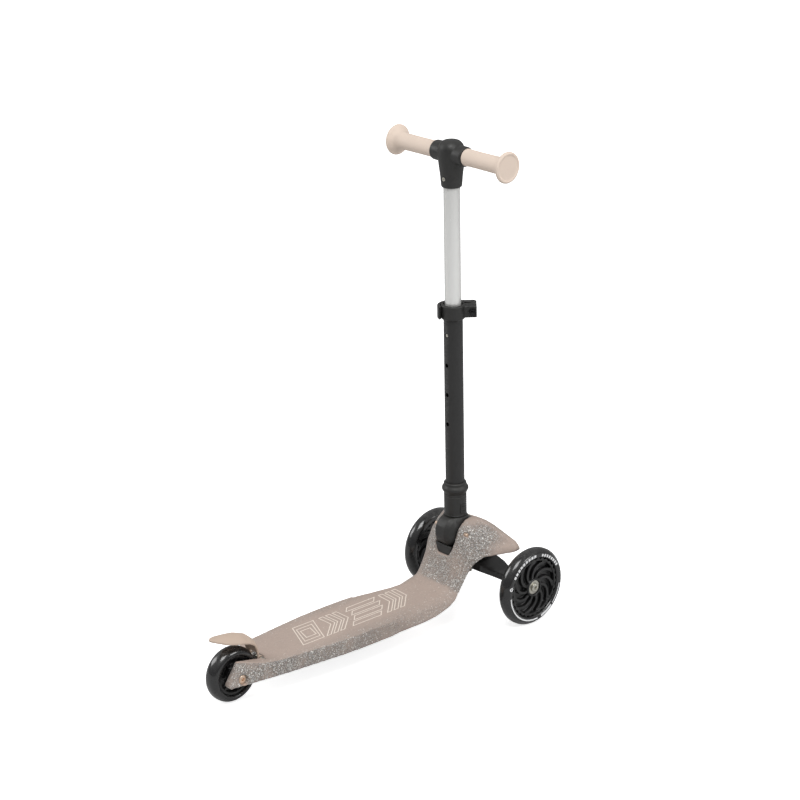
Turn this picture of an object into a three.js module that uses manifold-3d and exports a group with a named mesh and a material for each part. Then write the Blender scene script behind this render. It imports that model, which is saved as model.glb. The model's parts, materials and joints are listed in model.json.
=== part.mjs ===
// Three-wheeled lean-to-steer kick scooter with a folding, height-adjustable stem.
// Millimetres. +Z is up, the scooter rides towards -Y and its left side is +X. Z 0 is the ground.
import * as THREE from "three";
import { mergeVertices } from "three/addons/utils/BufferGeometryUtils.js";
import Module from "manifold-3d";

const wasm = await Module();
wasm.setup();

// ---- driving dimensions -----------------------------------------------------------------------

const FIT_GAP = 0.3; // clearance left wherever two pieces meet
const DATUM_SHIFT_Y = -71.2; // puts the middle of the overall length at Y 0

const FRONT_WHEEL = { x: 103.4, y: -161.8, radius: 60, halfWidth: 11.1, coreRadius: 46 };
const REAR_WHEEL = { y: 323.6, radius: 40.6, halfWidth: 12.2, coreRadius: 29 };
const BEARING = { bore: 4.3, radius: 11, width: 7 };
const AXLE_RADIUS = 4;
const REAR_AXLE = [0, REAR_WHEEL.y, REAR_WHEEL.radius];

const DECK = {
  bottom: 33, top: 57.5, skin: 4, joinY: 56, slotFront: 276, slotHalf: 15.2, coverThickness: 3 };
const DECK_RIBS = { half: 45, thickness: 2.5, cross: [78, 128, 178], keel: [18, 264] };
const COVER_SCREWS = [[-28, 58], [28, 58], [-24, 235], [24, 235]];
const COVER_SCREW = { shank: 1.6, head: 3.2, tip: 48, boss: 4.5, bore: 1.9, sink: 3.6 };

const STEM_LEAN = THREE.MathUtils.degToRad(1.457); // the stem leans back
const STEM_FOOT_Y = -109.5; // where the stem axis meets the ground
const PIVOT = { y: -98, z: 137.6, pinRadius: 2.6, pinHalf: 33 };
const NOTCH = { floor: 102, front: -130.5, back: -60, top: 175 };
// Side of the notch from its floor upwards: half width, height.
const NOTCH_SIDE = [[11, 102], [15.2, 110], [17.4, 117], [18.5, 125], [18.8, 133]];
const KNUCKLE = { radius: 25, half: 18.2 };
const SLEEVE = { radius: 16.8, bottom: 160.2, seat: 185.7, top: 195.2 };
const RING = { bottom: 195.5, top: 213, radius: 19.8 };
const OUTER_TUBE = { radius: 14, bore: 12.5, bottom: 186, top: 487.5 };
const INNER_TUBE = { radius: 11.9, bore: 10.5, bottom: 418, top: 699 };
const HOLE = { top: 443.3, pitch: 45.6, count: 4, radius: 3.1 };
const CLAMP = { height: 478.4, half: 11.2, radius: 18, turn: THREE.MathUtils.degToRad(227.6) };
const LEVER = { pinX: 28, pinY: 14.6, prong: 6.2, inner: 18.8, outer: 23, half: 9.4, gap: 3 };
const TEE = { bottom: 663, barHeight: 711.4, screwHeight: 676.5, armHalf: 31, armRadius: 14.4, top: 732.5 };
const BAR = { radius: 9.5, bore: 7.7, half: 103 };
const GRIP = { inner: 31.4, outer: 114.4, radius: 12.5, capRadius: 22.3 };
const FOLD_BUTTON = { height: 173.5, halfY: 5, halfZ: 7, proud: 1 };

const KINGPIN_TILT = THREE.MathUtils.degToRad(35); // top leans forward
const KINGPIN = { y: -143, z: 79, hubRadius: 12.5, hubHalf: 11, bossRadius: 10, bossEnd: 50 };
const BRIDGE_ARM_END = 80;

const BRAKE = { pinY: 281, pinZ: 55, pinRadius: 2, thickness: 3.4, crown: 7 };
const BRAKE_PIN = [0, BRAKE.pinY, BRAKE.pinZ];

// ---- colours ----------------------------------------------------------------------------------

const finish = (color, roughness, metalness) => {
  return new THREE.MeshStandardMaterial({ color, roughness, metalness });
};
const DECK_PLASTIC = finish(0xb2a094, 0.6, 0);
const GRIP_RUBBER = finish(0xe2d1c2, 0.7, 0);
const BLACK_PLASTIC = finish(0x2a2a2a, 0.5, 0);
const GLOSS_BLACK = finish(0x141414, 0.2, 0);
const TUBE_BLACK = finish(0x333333, 0.45, 0.3);
const TYRE_CLEAR = finish(0x1c1c1e, 0.25, 0);
const ALUMINIUM = finish(0xc8c9c6, 0.3, 1);
const STEEL = finish(0xb4b4b0, 0.3, 1);
const BRASS = finish(0xb78a5a, 0.4, 1);

// ---- geometry helpers -------------------------------------------------------------------------

/** Turns a closed three.js geometry into a solid that can be cut and joined. */
function solid(geometry) {
  const bare = geometry.clone();
  for (const name of Object.keys(bare.attributes)) {
    if (name !== "position") bare.deleteAttribute(name);
  }
  const merged = mergeVertices(bare, 1e-3);
  const corners = [];
  for (let i = 0; i < merged.index.count; i += 3) {
    const [a, b, c] = [0, 1, 2].map((k) => merged.index.getX(i + k));
    if (a !== b && b !== c && a !== c) corners.push(a, b, c);
  }
  const vertProperties = new Float32Array(merged.attributes.position.array);
  const build = (triVerts) => {
    const mesh = new wasm.Mesh({ numProp: 3, vertProperties, triVerts: new Uint32Array(triVerts) });
    return new wasm.Manifold(mesh);
  };
  const body = build(corners);
  return body.volume() > 0 ? body : build(corners.slice().reverse());
}

/** Gives a solid's triangles back as a three.js geometry. */
function geometryOf(body) {
  const mesh = body.getMesh();
  const geometry = new THREE.BufferGeometry();
  geometry.setAttribute("position", new THREE.BufferAttribute(new Float32Array(mesh.vertProperties), 3));
  geometry.setIndex([...mesh.triVerts]);
  geometry.computeVertexNormals();
  return geometry;
}

const join = (...bodies) => bodies.reduce((sum, body) => sum.add(body));
const cut = (body, ...tools) => tools.reduce((left, tool) => left.subtract(tool), body);

function box([x0, x1], [y0, y1], [z0, z1]) {
  const geometry = new THREE.BoxGeometry(x1 - x0, y1 - y0, z1 - z0);
  return solid(geometry.translate((x0 + x1) / 2, (y0 + y1) / 2, (z0 + z1) / 2));
}

const outline = (points) => new THREE.Shape(points.map(([a, b]) => new THREE.Vector2(a, b)));

/** Adds the mirror image of half an outline, given from one end of its middle line to the other. */
function mirrored(half) {
  const other = half.filter(([x]) => x > 1e-6).map(([x, y]) => [-x, y]);
  return [...half, ...other.reverse()];
}

function slab(shape, z0, z1, curveSegments = 12) {
  const geometry = new THREE.ExtrudeGeometry(shape, { depth: z1 - z0, bevelEnabled: false, curveSegments });
  return geometry.translate(0, 0, z0);
}

const plate = (points, z0, z1) => solid(slab(outline(points), z0, z1));

/** Extrudes a (y, z) profile along X. */
function alongX(points, x0, x1) {
  const turn = new THREE.Matrix4().makeBasis(
    new THREE.Vector3(0, 1, 0), new THREE.Vector3(0, 0, 1), new THREE.Vector3(1, 0, 0));
  return solid(slab(outline(points), x0, x1).applyMatrix4(turn));
}

/** Extrudes an (x, z) profile along Y. */
function alongY(points, y0, y1) {
  const turn = new THREE.Matrix4().makeBasis(
    new THREE.Vector3(1, 0, 0), new THREE.Vector3(0, 0, 1), new THREE.Vector3(0, -1, 0));
  return solid(slab(outline(points), -y1, -y0).applyMatrix4(turn));
}

const X_AXIS = new THREE.Vector3(1, 0, 0);
const Y_AXIS = new THREE.Vector3(0, 1, 0);
const Z_AXIS = new THREE.Vector3(0, 0, 1);

/** Turns a (radius, height) profile about an axis through a point. */
function turned(profile, segments, axis = Z_AXIS, at = [0, 0, 0]) {
  const geometry = new THREE.LatheGeometry(profile.map(([r, h]) => new THREE.Vector2(r, h)), segments);
  geometry.applyQuaternion(new THREE.Quaternion().setFromUnitVectors(Y_AXIS, axis));
  return solid(geometry.translate(...at));
}

const rod = (radius, from, to) => [[0, from], [radius, from], [radius, to], [0, to]];
const pipe = (bore, radius, from, to) => [
  [bore, from], [radius, from], [radius, to], [bore, to], [bore, from]];
const cylinder = (radius, from, to, segments, axis, at) => turned(rod(radius, from, to), segments, axis, at);
const tube = (bore, radius, from, to, segments, axis, at) => {
  return turned(pipe(bore, radius, from, to), segments, axis, at);
};

/** Skins rings of 3-D points. The end rings are closed with the triangles of a flat outline. */
function loft(rings, endOutline) {
  const count = rings[0].length;
  const positions = rings.flat(2);
  const triangles = [];
  for (let ring = 0; ring + 1 < rings.length; ring += 1) {
    for (let i = 0; i < count; i += 1) {
      const a = ring * count + i;
      const b = ring * count + ((i + 1) % count);
      triangles.push(a, b, b + count, a, b + count, a + count);
    }
  }
  const close = (ring, flip) => {
    const flat = endOutline(ring).map(([u, v]) => new THREE.Vector2(u, v));
    const backwards = THREE.ShapeUtils.isClockWise(flat) !== flip;
    for (const [a, b, c] of THREE.ShapeUtils.triangulateShape(flat, [])) {
      const clockwise = THREE.ShapeUtils.isClockWise([flat[a], flat[b], flat[c]]);
      const corners = clockwise === backwards ? [a, b, c] : [a, c, b];
      triangles.push(...corners.map((corner) => ring * count + corner));
    }
  };
  close(0, true);
  close(rings.length - 1, false);
  const geometry = new THREE.BufferGeometry();
  geometry.setAttribute("position", new THREE.Float32BufferAttribute(positions, 3));
  geometry.setIndex(triangles);
  return solid(geometry);
}

/** A round wire wound about Z. */
function coil(radius, wire, pitch, turns, stepsPerTurn = 10) {
  class Helix extends THREE.Curve {
    getPoint(t) {
      const angle = t * turns * 2 * Math.PI;
      return new THREE.Vector3(radius * Math.cos(angle), radius * Math.sin(angle), t * turns * pitch);
    }
  }
  const section = outline([0, 1, 2, 3, 4].map((k) => {
    return [wire * Math.cos(k * 0.4 * Math.PI), wire * Math.sin(k * 0.4 * Math.PI)];
  }));
  const steps = Math.round(turns * stepsPerTurn);
  return new THREE.ExtrudeGeometry(section, { steps, extrudePath: new Helix() });
}

const hexagon = (acrossFlats) => [0, 1, 2, 3, 4, 5].map((k) => {
  const reach = acrossFlats / Math.sqrt(3);
  return [reach * Math.cos((k * Math.PI) / 3), reach * Math.sin((k * Math.PI) / 3)];
});

/** A hexagon nut on the Z axis. */
const nut = (acrossFlats, bore, from, to) => {
  return cut(plate(hexagon(acrossFlats), from, to), cylinder(bore, from - 1, to + 1, 14));
};

/** A socket-head bolt on the Z axis, its head's outer face at the given height. */
function socketBolt(shank, head, headDepth, tip, face) {
  const profile = [
    [0, tip], [shank, tip], [shank, face - headDepth], [head, face - headDepth],
    [head, face - 0.8], [head - 0.8, face], [0, face],
  ];
  return cut(turned(profile, 16), plate(hexagon(5), face - 3, face + 1));
}

// ---- placing pieces ---------------------------------------------------------------------------

const scooter = new THREE.Group();
const chassis = new THREE.Group();
chassis.position.y = DATUM_SHIFT_Y;
scooter.add(chassis);

const stem = new THREE.Group();
stem.position.y = STEM_FOOT_Y;
stem.rotation.x = -STEM_LEAN;
chassis.add(stem);

const clamp = new THREE.Group();
clamp.position.z = CLAMP.height;
clamp.rotation.z = CLAMP.turn;
stem.add(clamp);

function place(name, body, material, group = chassis, position = [0, 0, 0]) {
  const mesh = new THREE.Mesh(body.isBufferGeometry ? body : geometryOf(body), material);
  mesh.name = name;
  mesh.position.set(...position);
  group.add(mesh);
  return mesh;
}

// ---- deck body --------------------------------------------------------------------------------

// Halves of the deck's outline at its foot and at its top, from the middle of the front to the slot.
const SLOT_POINTS = [
  [DECK.slotHalf, 352], [DECK.slotHalf, DECK.slotFront + 1.5], [DECK.slotHalf - 1.5, DECK.slotFront],
  [0, DECK.slotFront]];
const DECK_FOOT = [
  [0, DECK.joinY], [52.4, DECK.joinY], [53, 100], [52.3, 150], [47, 205], [42, 255], [37.5, 290],
  [32.8, 322],
  [28.5, 352], ...SLOT_POINTS];
const DECK_TOP = [
  [0, DECK.joinY], [52.2, DECK.joinY], [53, 100], [52.3, 150], [47, 205], [41, 255], [32.5, 290], [21, 322],
  [18.5, 352], ...SLOT_POINTS];
const DECK_SIDE = [
  [DECK.joinY, DECK.bottom], [346, DECK.bottom], [349, 37], [329, 67], [288, 58.6], [265, DECK.top],
  [DECK.joinY, DECK.top]];
const COVER_HALF = [
  [0, 20], [38, 20], [44.5, 56], [48, 100], [47.3, 150], [42, 205], [37, 255], [34, 262], [0, 262]];

// Level sections of the front of the deck, the neck and its wings: height, then half a section from
// the rear to the front.
const NECK_SECTIONS = [
  [33.2, [[0, 62], [30, 62], [51.5, 62], [52, 45], [51.8, 25],
    [51.5, 12], [50, 3], [30, 1], [0, 1]]],
  [36, [[0, 62], [30, 62], [52.3, 62], [52.5, 40], [52.3, 12],
    [52, -10], [50.5, -27], [30, -31], [0, -31]]],
  [42, [[0, 62], [30, 62], [52.3, 62], [52, 40], [51, 12],
    [49, -16], [51, -47], [30, -54], [0, -54]]],
  [51, [[0, 62], [30, 62], [52.3, 62], [51, 40], [47.5, 12],
    [44.5, -30], [49.5, -63], [30, -67], [0, -67]]],
  [57.5, [[0, 62], [51.8, 62], [46.5, 38], [38.5, 12], [34, -14],
    [33.5, -42], [47, -70], [30, -74], [0, -74]]],
  [57.9, [[0, -40], [18, -40], [24, -40.3], [30.5, -41], [33.5, -44],
    [36, -52], [47, -71], [30, -74.5], [0, -74.5]]],
  [60, [[0, -52], [18, -52], [25, -52.5], [31, -53.5], [35, -56.5],
    [39, -62], [47, -72.5], [30, -75.5], [0, -75.5]]],
  [65, [[0, -60], [18, -60], [26, -60.5], [32, -61.5], [36.5, -64],
    [41, -68.5], [47, -75.6], [30, -78.5], [0, -78.5]]],
  [73, [[0, -66], [18, -66], [27, -66.5], [34, -68], [38.5, -71],
    [43, -75.5], [47, -81.2], [30, -84], [0, -84]]],
  [83, [[0, -71], [18, -71], [27, -71.5], [35, -74], [40, -77.5],
    [44.5, -82.5], [48, -88], [30, -91], [0, -91]]],
  [94, [[0, -75.5], [18, -75.5], [27, -76], [35, -78.5], [40.5, -83],
    [46, -90], [50, -96.5], [30, -100], [0, -100]]],
  [102, [[0, -78], [18, -78], [27, -79], [35, -81.5], [42, -86.5],
    [49, -94], [56, -102.5], [30, -107], [0, -107]]],
  [107, [[0, -80], [18, -80], [27, -81], [34, -83], [42, -88],
    [51, -97], [61, -110], [58, -165], [0, -189]]],
  [111.5, [[0, -81], [18, -81], [27, -82], [34, -84.5], [43, -91],
    [69, -124], [84, -147], [82, -162], [0, -192]]],
  [118, [[0, -82.5], [18, -82.8], [26, -84], [33, -87], [43, -94],
    [62, -117], [85, -152], [80, -160], [0, -188]]],
  [124, [[0, -84], [18, -84.3], [26, -86], [32, -89], [42, -97],
    [58, -119], [79, -153], [76, -158], [0, -180]]],
  [132, [[0, -86], [18, -86.5], [25, -88.5], [31, -92], [40, -99],
    [53, -118], [69, -144], [67, -150], [0, -169]]],
  [142, [[0, -89], [18, -90], [24, -92.5], [29, -96], [36, -102],
    [45, -117], [56, -136], [54, -142], [0, -152]]],
  [150, [[0, -95], [18, -96], [23, -99], [27, -102.5], [32, -107],
    [38, -117], [45, -129], [43, -133], [0, -134]]],
  [156, [[0, -103], [16, -104], [20, -106], [23.5, -109], [27, -113],
    [31, -119], [34, -124], [32, -127], [0, -128]]],
  [158, [[0, -109], [14, -110], [17, -112], [19, -114], [21, -116],
    [22.5, -118], [23, -120], [21, -122], [0, -122.5]]],
];

// The hollow under the wings that the axle bridge swings in: half of its plan.
const STEERING_CAVITY = [[0, -134], [38, -134], [47, -148], [42, -158], [22, -168], [0, -171]];

const KINGPIN_AXIS = new THREE.Vector3(0, -Math.sin(KINGPIN_TILT), Math.cos(KINGPIN_TILT));
const onKingpin = (distance) => [
  0, KINGPIN.y + KINGPIN_AXIS.y * distance, KINGPIN.z + KINGPIN_AXIS.z * distance];
const kingpinTurned = (profile, segments) => turned(profile, segments, KINGPIN_AXIS, onKingpin(0));

/** Skins level half sections, given as height and half outline, from the lowest up. */
function stacked(levels) {
  const rings = levels.map(([z, half]) => mirrored(half).map(([x, y]) => [x, y, z]));
  return loft(rings, (ring) => rings[ring].map(([x, y]) => [x, y]));
}

function deckBody() {
  const plank = stacked([[30, DECK_FOOT], [70, DECK_TOP]]).intersect(alongX(DECK_SIDE, -70, 70));
  const neck = stacked(NECK_SECTIONS);
  const steeringCavity = plate(mirrored(STEERING_CAVITY), 80, 118);
  const boss = kingpinTurned(rod(KINGPIN.bossRadius, KINGPIN.hubHalf + 3, KINGPIN.bossEnd), 20);
  const shell = join(plank, cut(neck, steeringCavity), boss);

  const hollow = plate(mirrored(COVER_HALF), 20, DECK.top - DECK.skin);
  const ribTop = DECK.top - DECK.skin + 1;
  const ribFoot = DECK.bottom + DECK.coverThickness + FIT_GAP;
  const { half, thickness, cross } = DECK_RIBS;
  const crossRibs = cross.map((y) => {
    return box([-half, half], [y - thickness / 2, y + thickness / 2], [ribFoot, ribTop]);
  });
  const keel = box([-thickness / 2, thickness / 2], DECK_RIBS.keel, [ribFoot, ribTop]);
  const bosses = COVER_SCREWS.map(([x, y]) => {
    return cylinder(COVER_SCREW.boss, ribFoot, ribTop, 12, Z_AXIS, [x, y, 0]);
  });
  const ribs = join(...crossRibs, keel, ...bosses);
  const screwHoles = COVER_SCREWS.map(([x, y]) => cylinder(COVER_SCREW.bore, 30, 50, 10, Z_AXIS, [x, y, 0]));

  const notchHalf = [[0, NOTCH.floor], ...NOTCH_SIDE, [NOTCH_SIDE.at(-1)[0], NOTCH.top], [0, NOTCH.top]];
  const notch = alongY(mirrored(notchHalf), NOTCH.front, NOTCH.back);
  const pinBore = cylinder(PIVOT.pinRadius + FIT_GAP, -60, 60, 14, X_AXIS, [0, PIVOT.y, PIVOT.z]);
  const kingpinBore = kingpinTurned(rod(AXLE_RADIUS + FIT_GAP, 0, 46), 14);
  const rearAxleBore = cylinder(AXLE_RADIUS + FIT_GAP, -60, 60, 14, X_AXIS, REAR_AXLE);
  const headPocket = (side) => cylinder(7.2, 21.5, 60, 16, new THREE.Vector3(side, 0, 0), REAR_AXLE);
  const brakePinBore = cylinder(BRAKE.pinRadius + FIT_GAP, -26, 26, 12, X_AXIS, BRAKE_PIN);
  return cut(
    cut(shell, hollow).add(ribs), ...screwHoles, notch, pinBore, kingpinBore, rearAxleBore,
    headPocket(1), headPocket(-1), brakePinBore);
}

place("deck_body", deckBody(), DECK_PLASTIC);

function undersideCover() {
  const half = COVER_HALF.map(([x, y]) => {
    const edge = x > 0 ? x - FIT_GAP : 0;
    return [edge, THREE.MathUtils.clamp(y, COVER_HALF[0][1] + FIT_GAP, COVER_HALF.at(-1)[1] - FIT_GAP)];
  });
  const sheet = plate(mirrored(half), DECK.bottom + 0.2, DECK.bottom + DECK.coverThickness);
  const holes = COVER_SCREWS.flatMap(([x, y]) => [
    cylinder(COVER_SCREW.bore, 30, 50, 10, Z_AXIS, [x, y, 0]),
    cylinder(COVER_SCREW.sink, 30, DECK.bottom + 1.9, 12, Z_AXIS, [x, y, 0])]);
  return cut(sheet, ...holes);
}

place("underside_cover", undersideCover(), BLACK_PLASTIC);

COVER_SCREWS.forEach(([x, y], index) => {
  const foot = DECK.bottom + 0.4;
  const { head, shank, tip } = COVER_SCREW;
  const profile = [[0, foot], [head, foot], [head, foot + 1.2], [shank, foot + 1.4], [shank, tip],
    [0, tip + 1]];
  place(`cover_screw_${index + 1}`, turned(profile, 10), STEEL, chassis, [x, y, 0]);
});

// ---- stem hinge -------------------------------------------------------------------------------

function hingeCradle() {
  const inset = FIT_GAP + 0.05;
  const side = NOTCH_SIDE.slice(0, 3).map(([x, z]) => [x - inset, z]);
  side[0][1] += inset;
  const half = [[0, side[0][1]], ...side, [0, side.at(-1)[1]]];
  const block = alongY(mirrored(half), NOTCH.front + inset, -81);
  const seat = cylinder(KNUCKLE.radius + 0.7, -30, 30, 28, X_AXIS, [0, PIVOT.y, PIVOT.z]);
  return cut(block, seat);
}

place("hinge_cradle", hingeCradle(), BLACK_PLASTIC);

const pinProfile = [
  [0, -PIVOT.pinHalf - 1], [PIVOT.pinRadius - 0.4, -PIVOT.pinHalf - 1], [PIVOT.pinRadius, -PIVOT.pinHalf],
  [PIVOT.pinRadius, PIVOT.pinHalf], [PIVOT.pinRadius - 0.4, PIVOT.pinHalf + 1], [0, PIVOT.pinHalf + 1]];
place("fold_pin", turned(pinProfile, 14, X_AXIS), BRASS, chassis, [0, PIVOT.y, PIVOT.z]);

const pivotInStem = {
  y: (PIVOT.y - STEM_FOOT_Y) * Math.cos(STEM_LEAN) - PIVOT.z * Math.sin(STEM_LEAN),
  z: (PIVOT.y - STEM_FOOT_Y) * Math.sin(STEM_LEAN) + PIVOT.z * Math.cos(STEM_LEAN),
};

function stemKnuckle() {
  const at = [0, pivotInStem.y, pivotInStem.z];
  const { radius, half } = KNUCKLE;
  const barrel = turned([
    [0, -half], [radius - 12, -half], [radius - 5, -half + 3.5], [radius, -half + 9], [radius, half - 9],
    [radius - 5, half - 3.5], [radius - 12, half], [0, half]], 28, X_AXIS, at);
  const skirt = turned([
    [0, 136], [16, 136], [21, 141], [24, 147.5], [20.6, 155.5], [18, SLEEVE.bottom - FIT_GAP],
    [0, SLEEVE.bottom - FIT_GAP]], 24);
  const limits = box([-half, half], [-40, 40], [100, SLEEVE.bottom - FIT_GAP]);
  const pinBore = cylinder(PIVOT.pinRadius + FIT_GAP, -40, 40, 14, X_AXIS, at);
  return cut(barrel.add(skirt).intersect(limits), pinBore);
}

place("stem_knuckle", stemKnuckle(), BLACK_PLASTIC, stem);

function stemSleeve() {
  const { radius, bottom, seat, top } = SLEEVE;
  const profile = [
    [0, bottom], [radius - 0.5, bottom], [radius, bottom + 0.8], [radius, top],
    [OUTER_TUBE.radius + FIT_GAP, top],
    [OUTER_TUBE.radius + FIT_GAP, seat], [0, seat]];
  const { height, halfY, halfZ } = FOLD_BUTTON;
  const pocket = box([-radius - 2, -6], [-halfY - FIT_GAP, halfY + FIT_GAP],
    [height - halfZ - FIT_GAP, height + halfZ + FIT_GAP]);
  return cut(turned(profile, 24), pocket);
}

place("stem_sleeve", stemSleeve(), BLACK_PLASTIC, stem);

function foldButton() {
  const { height, halfY, halfZ, proud } = FOLD_BUTTON;
  const block = box([-SLEEVE.radius - proud, -11], [-halfY, halfY], [height - halfZ, height + halfZ]);
  const face = cylinder(SLEEVE.radius + proud, 100, 240, 32);
  const grooves = [-3.5, 0, 3.5].map((step) => {
    return box([-30, -SLEEVE.radius], [-halfY - 1, halfY + 1], [height + step - 0.6, height + step + 0.6]);
  });
  return cut(block.intersect(face), ...grooves);
}

place("fold_button", foldButton(), BLACK_PLASTIC, stem);

const buttonSpring = place("fold_button_spring", coil(3, 0.4, 1.1, 2.2, 10), STEEL, stem);
buttonSpring.position.set(-9, 0, FOLD_BUTTON.height);
buttonSpring.rotation.y = Math.PI / 2;

const ringProfile = [
  [OUTER_TUBE.radius + FIT_GAP, RING.bottom], [SLEEVE.radius, RING.bottom], [17.4, RING.bottom + 1.8],
  [RING.radius, RING.bottom + 6], [RING.radius, RING.bottom + 9], [16.8, RING.top - 1], [15.6, RING.top],
  [OUTER_TUBE.radius + FIT_GAP, RING.top], [OUTER_TUBE.radius + FIT_GAP, RING.bottom]];
place("ring_collar", turned(ringProfile, 24), BLACK_PLASTIC, stem);

// ---- telescopic tubes -------------------------------------------------------------------------

function outerTube() {
  const wall = tube(OUTER_TUBE.bore, OUTER_TUBE.radius, OUTER_TUBE.bottom, OUTER_TUBE.top, 24);
  const lowest = HOLE.top - (HOLE.count - 1) * HOLE.pitch;
  const keyway = box([-3.6, 3.6], [10, 13.45], [lowest - 5, HOLE.top + 5]);
  const holes = Array.from({ length: HOLE.count }, (_, index) => {
    return cylinder(HOLE.radius, 8, 18, 12, Y_AXIS, [0, 0, HOLE.top - index * HOLE.pitch]);
  });
  const slit = box([8, 20], [-1, 1], [OUTER_TUBE.top - 26, OUTER_TUBE.top + 2]);
  const turnedSlit = slit.rotate([0, 0, THREE.MathUtils.radToDeg(CLAMP.turn)]);
  return cut(wall, keyway, ...holes, turnedSlit);
}

place("outer_tube", outerTube(), TUBE_BLACK, stem);

const buttonBore = cylinder(3.1, 5, 16, 12, Y_AXIS, [0, 0, HOLE.top]);
const innerWall = tube(INNER_TUBE.bore, INNER_TUBE.radius, INNER_TUBE.bottom, INNER_TUBE.top, 24);
place("inner_tube", cut(innerWall, buttonBore), ALUMINIUM, stem);

const plugProfile = [
  [0, INNER_TUBE.bottom - 3], [INNER_TUBE.radius, INNER_TUBE.bottom - 3],
  [INNER_TUBE.radius, INNER_TUBE.bottom - FIT_GAP], [INNER_TUBE.bore - FIT_GAP, INNER_TUBE.bottom - FIT_GAP],
  [INNER_TUBE.bore - FIT_GAP, INNER_TUBE.bottom + 9], [0, INNER_TUBE.bottom + 9]];
place("tube_end_plug", turned(plugProfile, 20), BLACK_PLASTIC, stem);

const snapProfile = [[0, 7.2], [4.2, 7.2], [4.2, 8.4], [2.8, 8.6], [2.8, 12.6], [2, 13.2], [0, 13.2]];
place("snap_button", turned(snapProfile, 12, Y_AXIS), STEEL, stem, [0, 0, HOLE.top]);
const springStrip = [[-8, -2], [-9, -2], [-6, 22], [-3, 26], [1, 24], [4.5, 4], [4.5, -3], [3.5, -3],
  [3.5, 3.6],
  [0.4, 22.8], [-2.8, 24.8], [-5.1, 21.4]];
place("snap_spring", alongX(springStrip, -2.5, 2.5), STEEL, stem, [0, 0, HOLE.top]);

// ---- quick-release clamp ----------------------------------------------------------------------

function clampCollar() {
  const { half, radius } = CLAMP;
  const ring = turned([
    [0, -half], [radius - 1.5, -half], [radius, -half + 2], [radius, half - 2], [radius - 1.5, half],
    [0, half]], 28);
  const ears = box([10, 34], [-8, 8], [-8.5, 8.5]);
  return cut(
    ring.add(ears), cylinder(OUTER_TUBE.radius + FIT_GAP, -20, 20, 28), box([8, 40], [-1.5, 1.5], [-20, 20]),
    cylinder(3.2, -20, 20, 14, Y_AXIS, [LEVER.pinX, 0, 0]));
}

place("clamp_collar", clampCollar(), BLACK_PLASTIC, clamp);

const eye = cylinder(4.6, -2.6, 2.6, 18, Z_AXIS, [LEVER.pinX, LEVER.pinY, 0]);
const boltShank = cylinder(2.9, -15, LEVER.pinY, 14, Y_AXIS, [LEVER.pinX, 0, 0]);
const eyeBore = cylinder(2.3, -5, 5, 14, Z_AXIS, [LEVER.pinX, LEVER.pinY, 0]);
place("clamp_bolt", cut(eye.add(boltShank), eyeBore), STEEL, clamp);

const clampNut = place("clamp_nut", nut(10, 3.2, 0, 5), STEEL, clamp, [LEVER.pinX, -8.4, 0]);
clampNut.rotation.x = Math.PI / 2;
place("lever_pin", cylinder(2, -LEVER.half, LEVER.half, 14), STEEL, clamp, [LEVER.pinX, LEVER.pinY, 0]);

function clampLever() {
  const { pinX, pinY, prong, inner, outer, half, gap } = LEVER;
  const start = THREE.MathUtils.degToRad(66);
  const end = THREE.MathUtils.degToRad(205);
  const tip = outer * 1.06;
  const shape = new THREE.Shape();
  shape.moveTo(outer * Math.cos(start), outer * Math.sin(start));
  shape.absarc(0, 0, outer, start, end, false);
  shape.lineTo(tip * Math.cos(end + 0.12), tip * Math.sin(end + 0.12));
  shape.lineTo(inner * Math.cos(end), inner * Math.sin(end));
  shape.absarc(0, 0, inner, end, start, true);
  shape.lineTo(pinX - 3, pinY - prong + 0.8);
  shape.lineTo(pinX, pinY);
  shape.lineTo(pinX - 0.5, pinY + prong);
  const arm = solid(slab(shape, -half, half, 20));
  const knuckle = cylinder(prong, -half, half, 20, Z_AXIS, [pinX, pinY, 0]);
  const slot = box([pinX - prong - 1, pinX + 10], [pinY - 10, pinY + 10], [-gap, gap]);
  const bore = cylinder(2.3, -20, 20, 14, Z_AXIS, [pinX, pinY, 0]);
  return cut(arm.add(knuckle), slot, bore);
}

place("clamp_lever", clampLever(), BLACK_PLASTIC, clamp);

// ---- handlebar --------------------------------------------------------------------------------

const barAt = [0, 0, TEE.barHeight];

function teeJoint() {
  const hub = turned([
    [0, TEE.bottom], [14, TEE.bottom], [15, TEE.bottom + 1.6], [17.2, 688], [19, 700], [19.6, 712],
    [18, 722],
    [13, 729], [0, TEE.top]], 20);
  const { armHalf, armRadius } = TEE;
  const arms = turned([
    [0, -armHalf], [armRadius - 0.8, -armHalf], [armRadius, -armHalf + 1.2], [armRadius, armHalf - 1.2],
    [armRadius - 0.8, armHalf], [0, armHalf]], 20, X_AXIS, barAt);
  return cut(
    hub.add(arms),
    cylinder(INNER_TUBE.radius + FIT_GAP, 640, INNER_TUBE.top + FIT_GAP, 24),
    cylinder(BAR.radius + FIT_GAP, -60, 60, 20, X_AXIS, barAt),
    cylinder(3.4, 10, 30, 12, Y_AXIS, [0, 0, TEE.screwHeight]));
}

place("t_joint", teeJoint(), BLACK_PLASTIC, stem);

const teeScrew = cut(
  turned([[0, 12.6], [2.6, 12.6], [2.6, 13.6], [3, 13.8], [3, 15.6], [0, 15.6]], 14, Y_AXIS),
  cylinder(1.3, 14.4, 20, 6, Y_AXIS));
place("t_joint_screw", teeScrew, STEEL, stem, [0, 0, TEE.screwHeight]);
place("crossbar", tube(BAR.bore, BAR.radius, -BAR.half, BAR.half, 16, X_AXIS), ALUMINIUM, stem, barAt);

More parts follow.
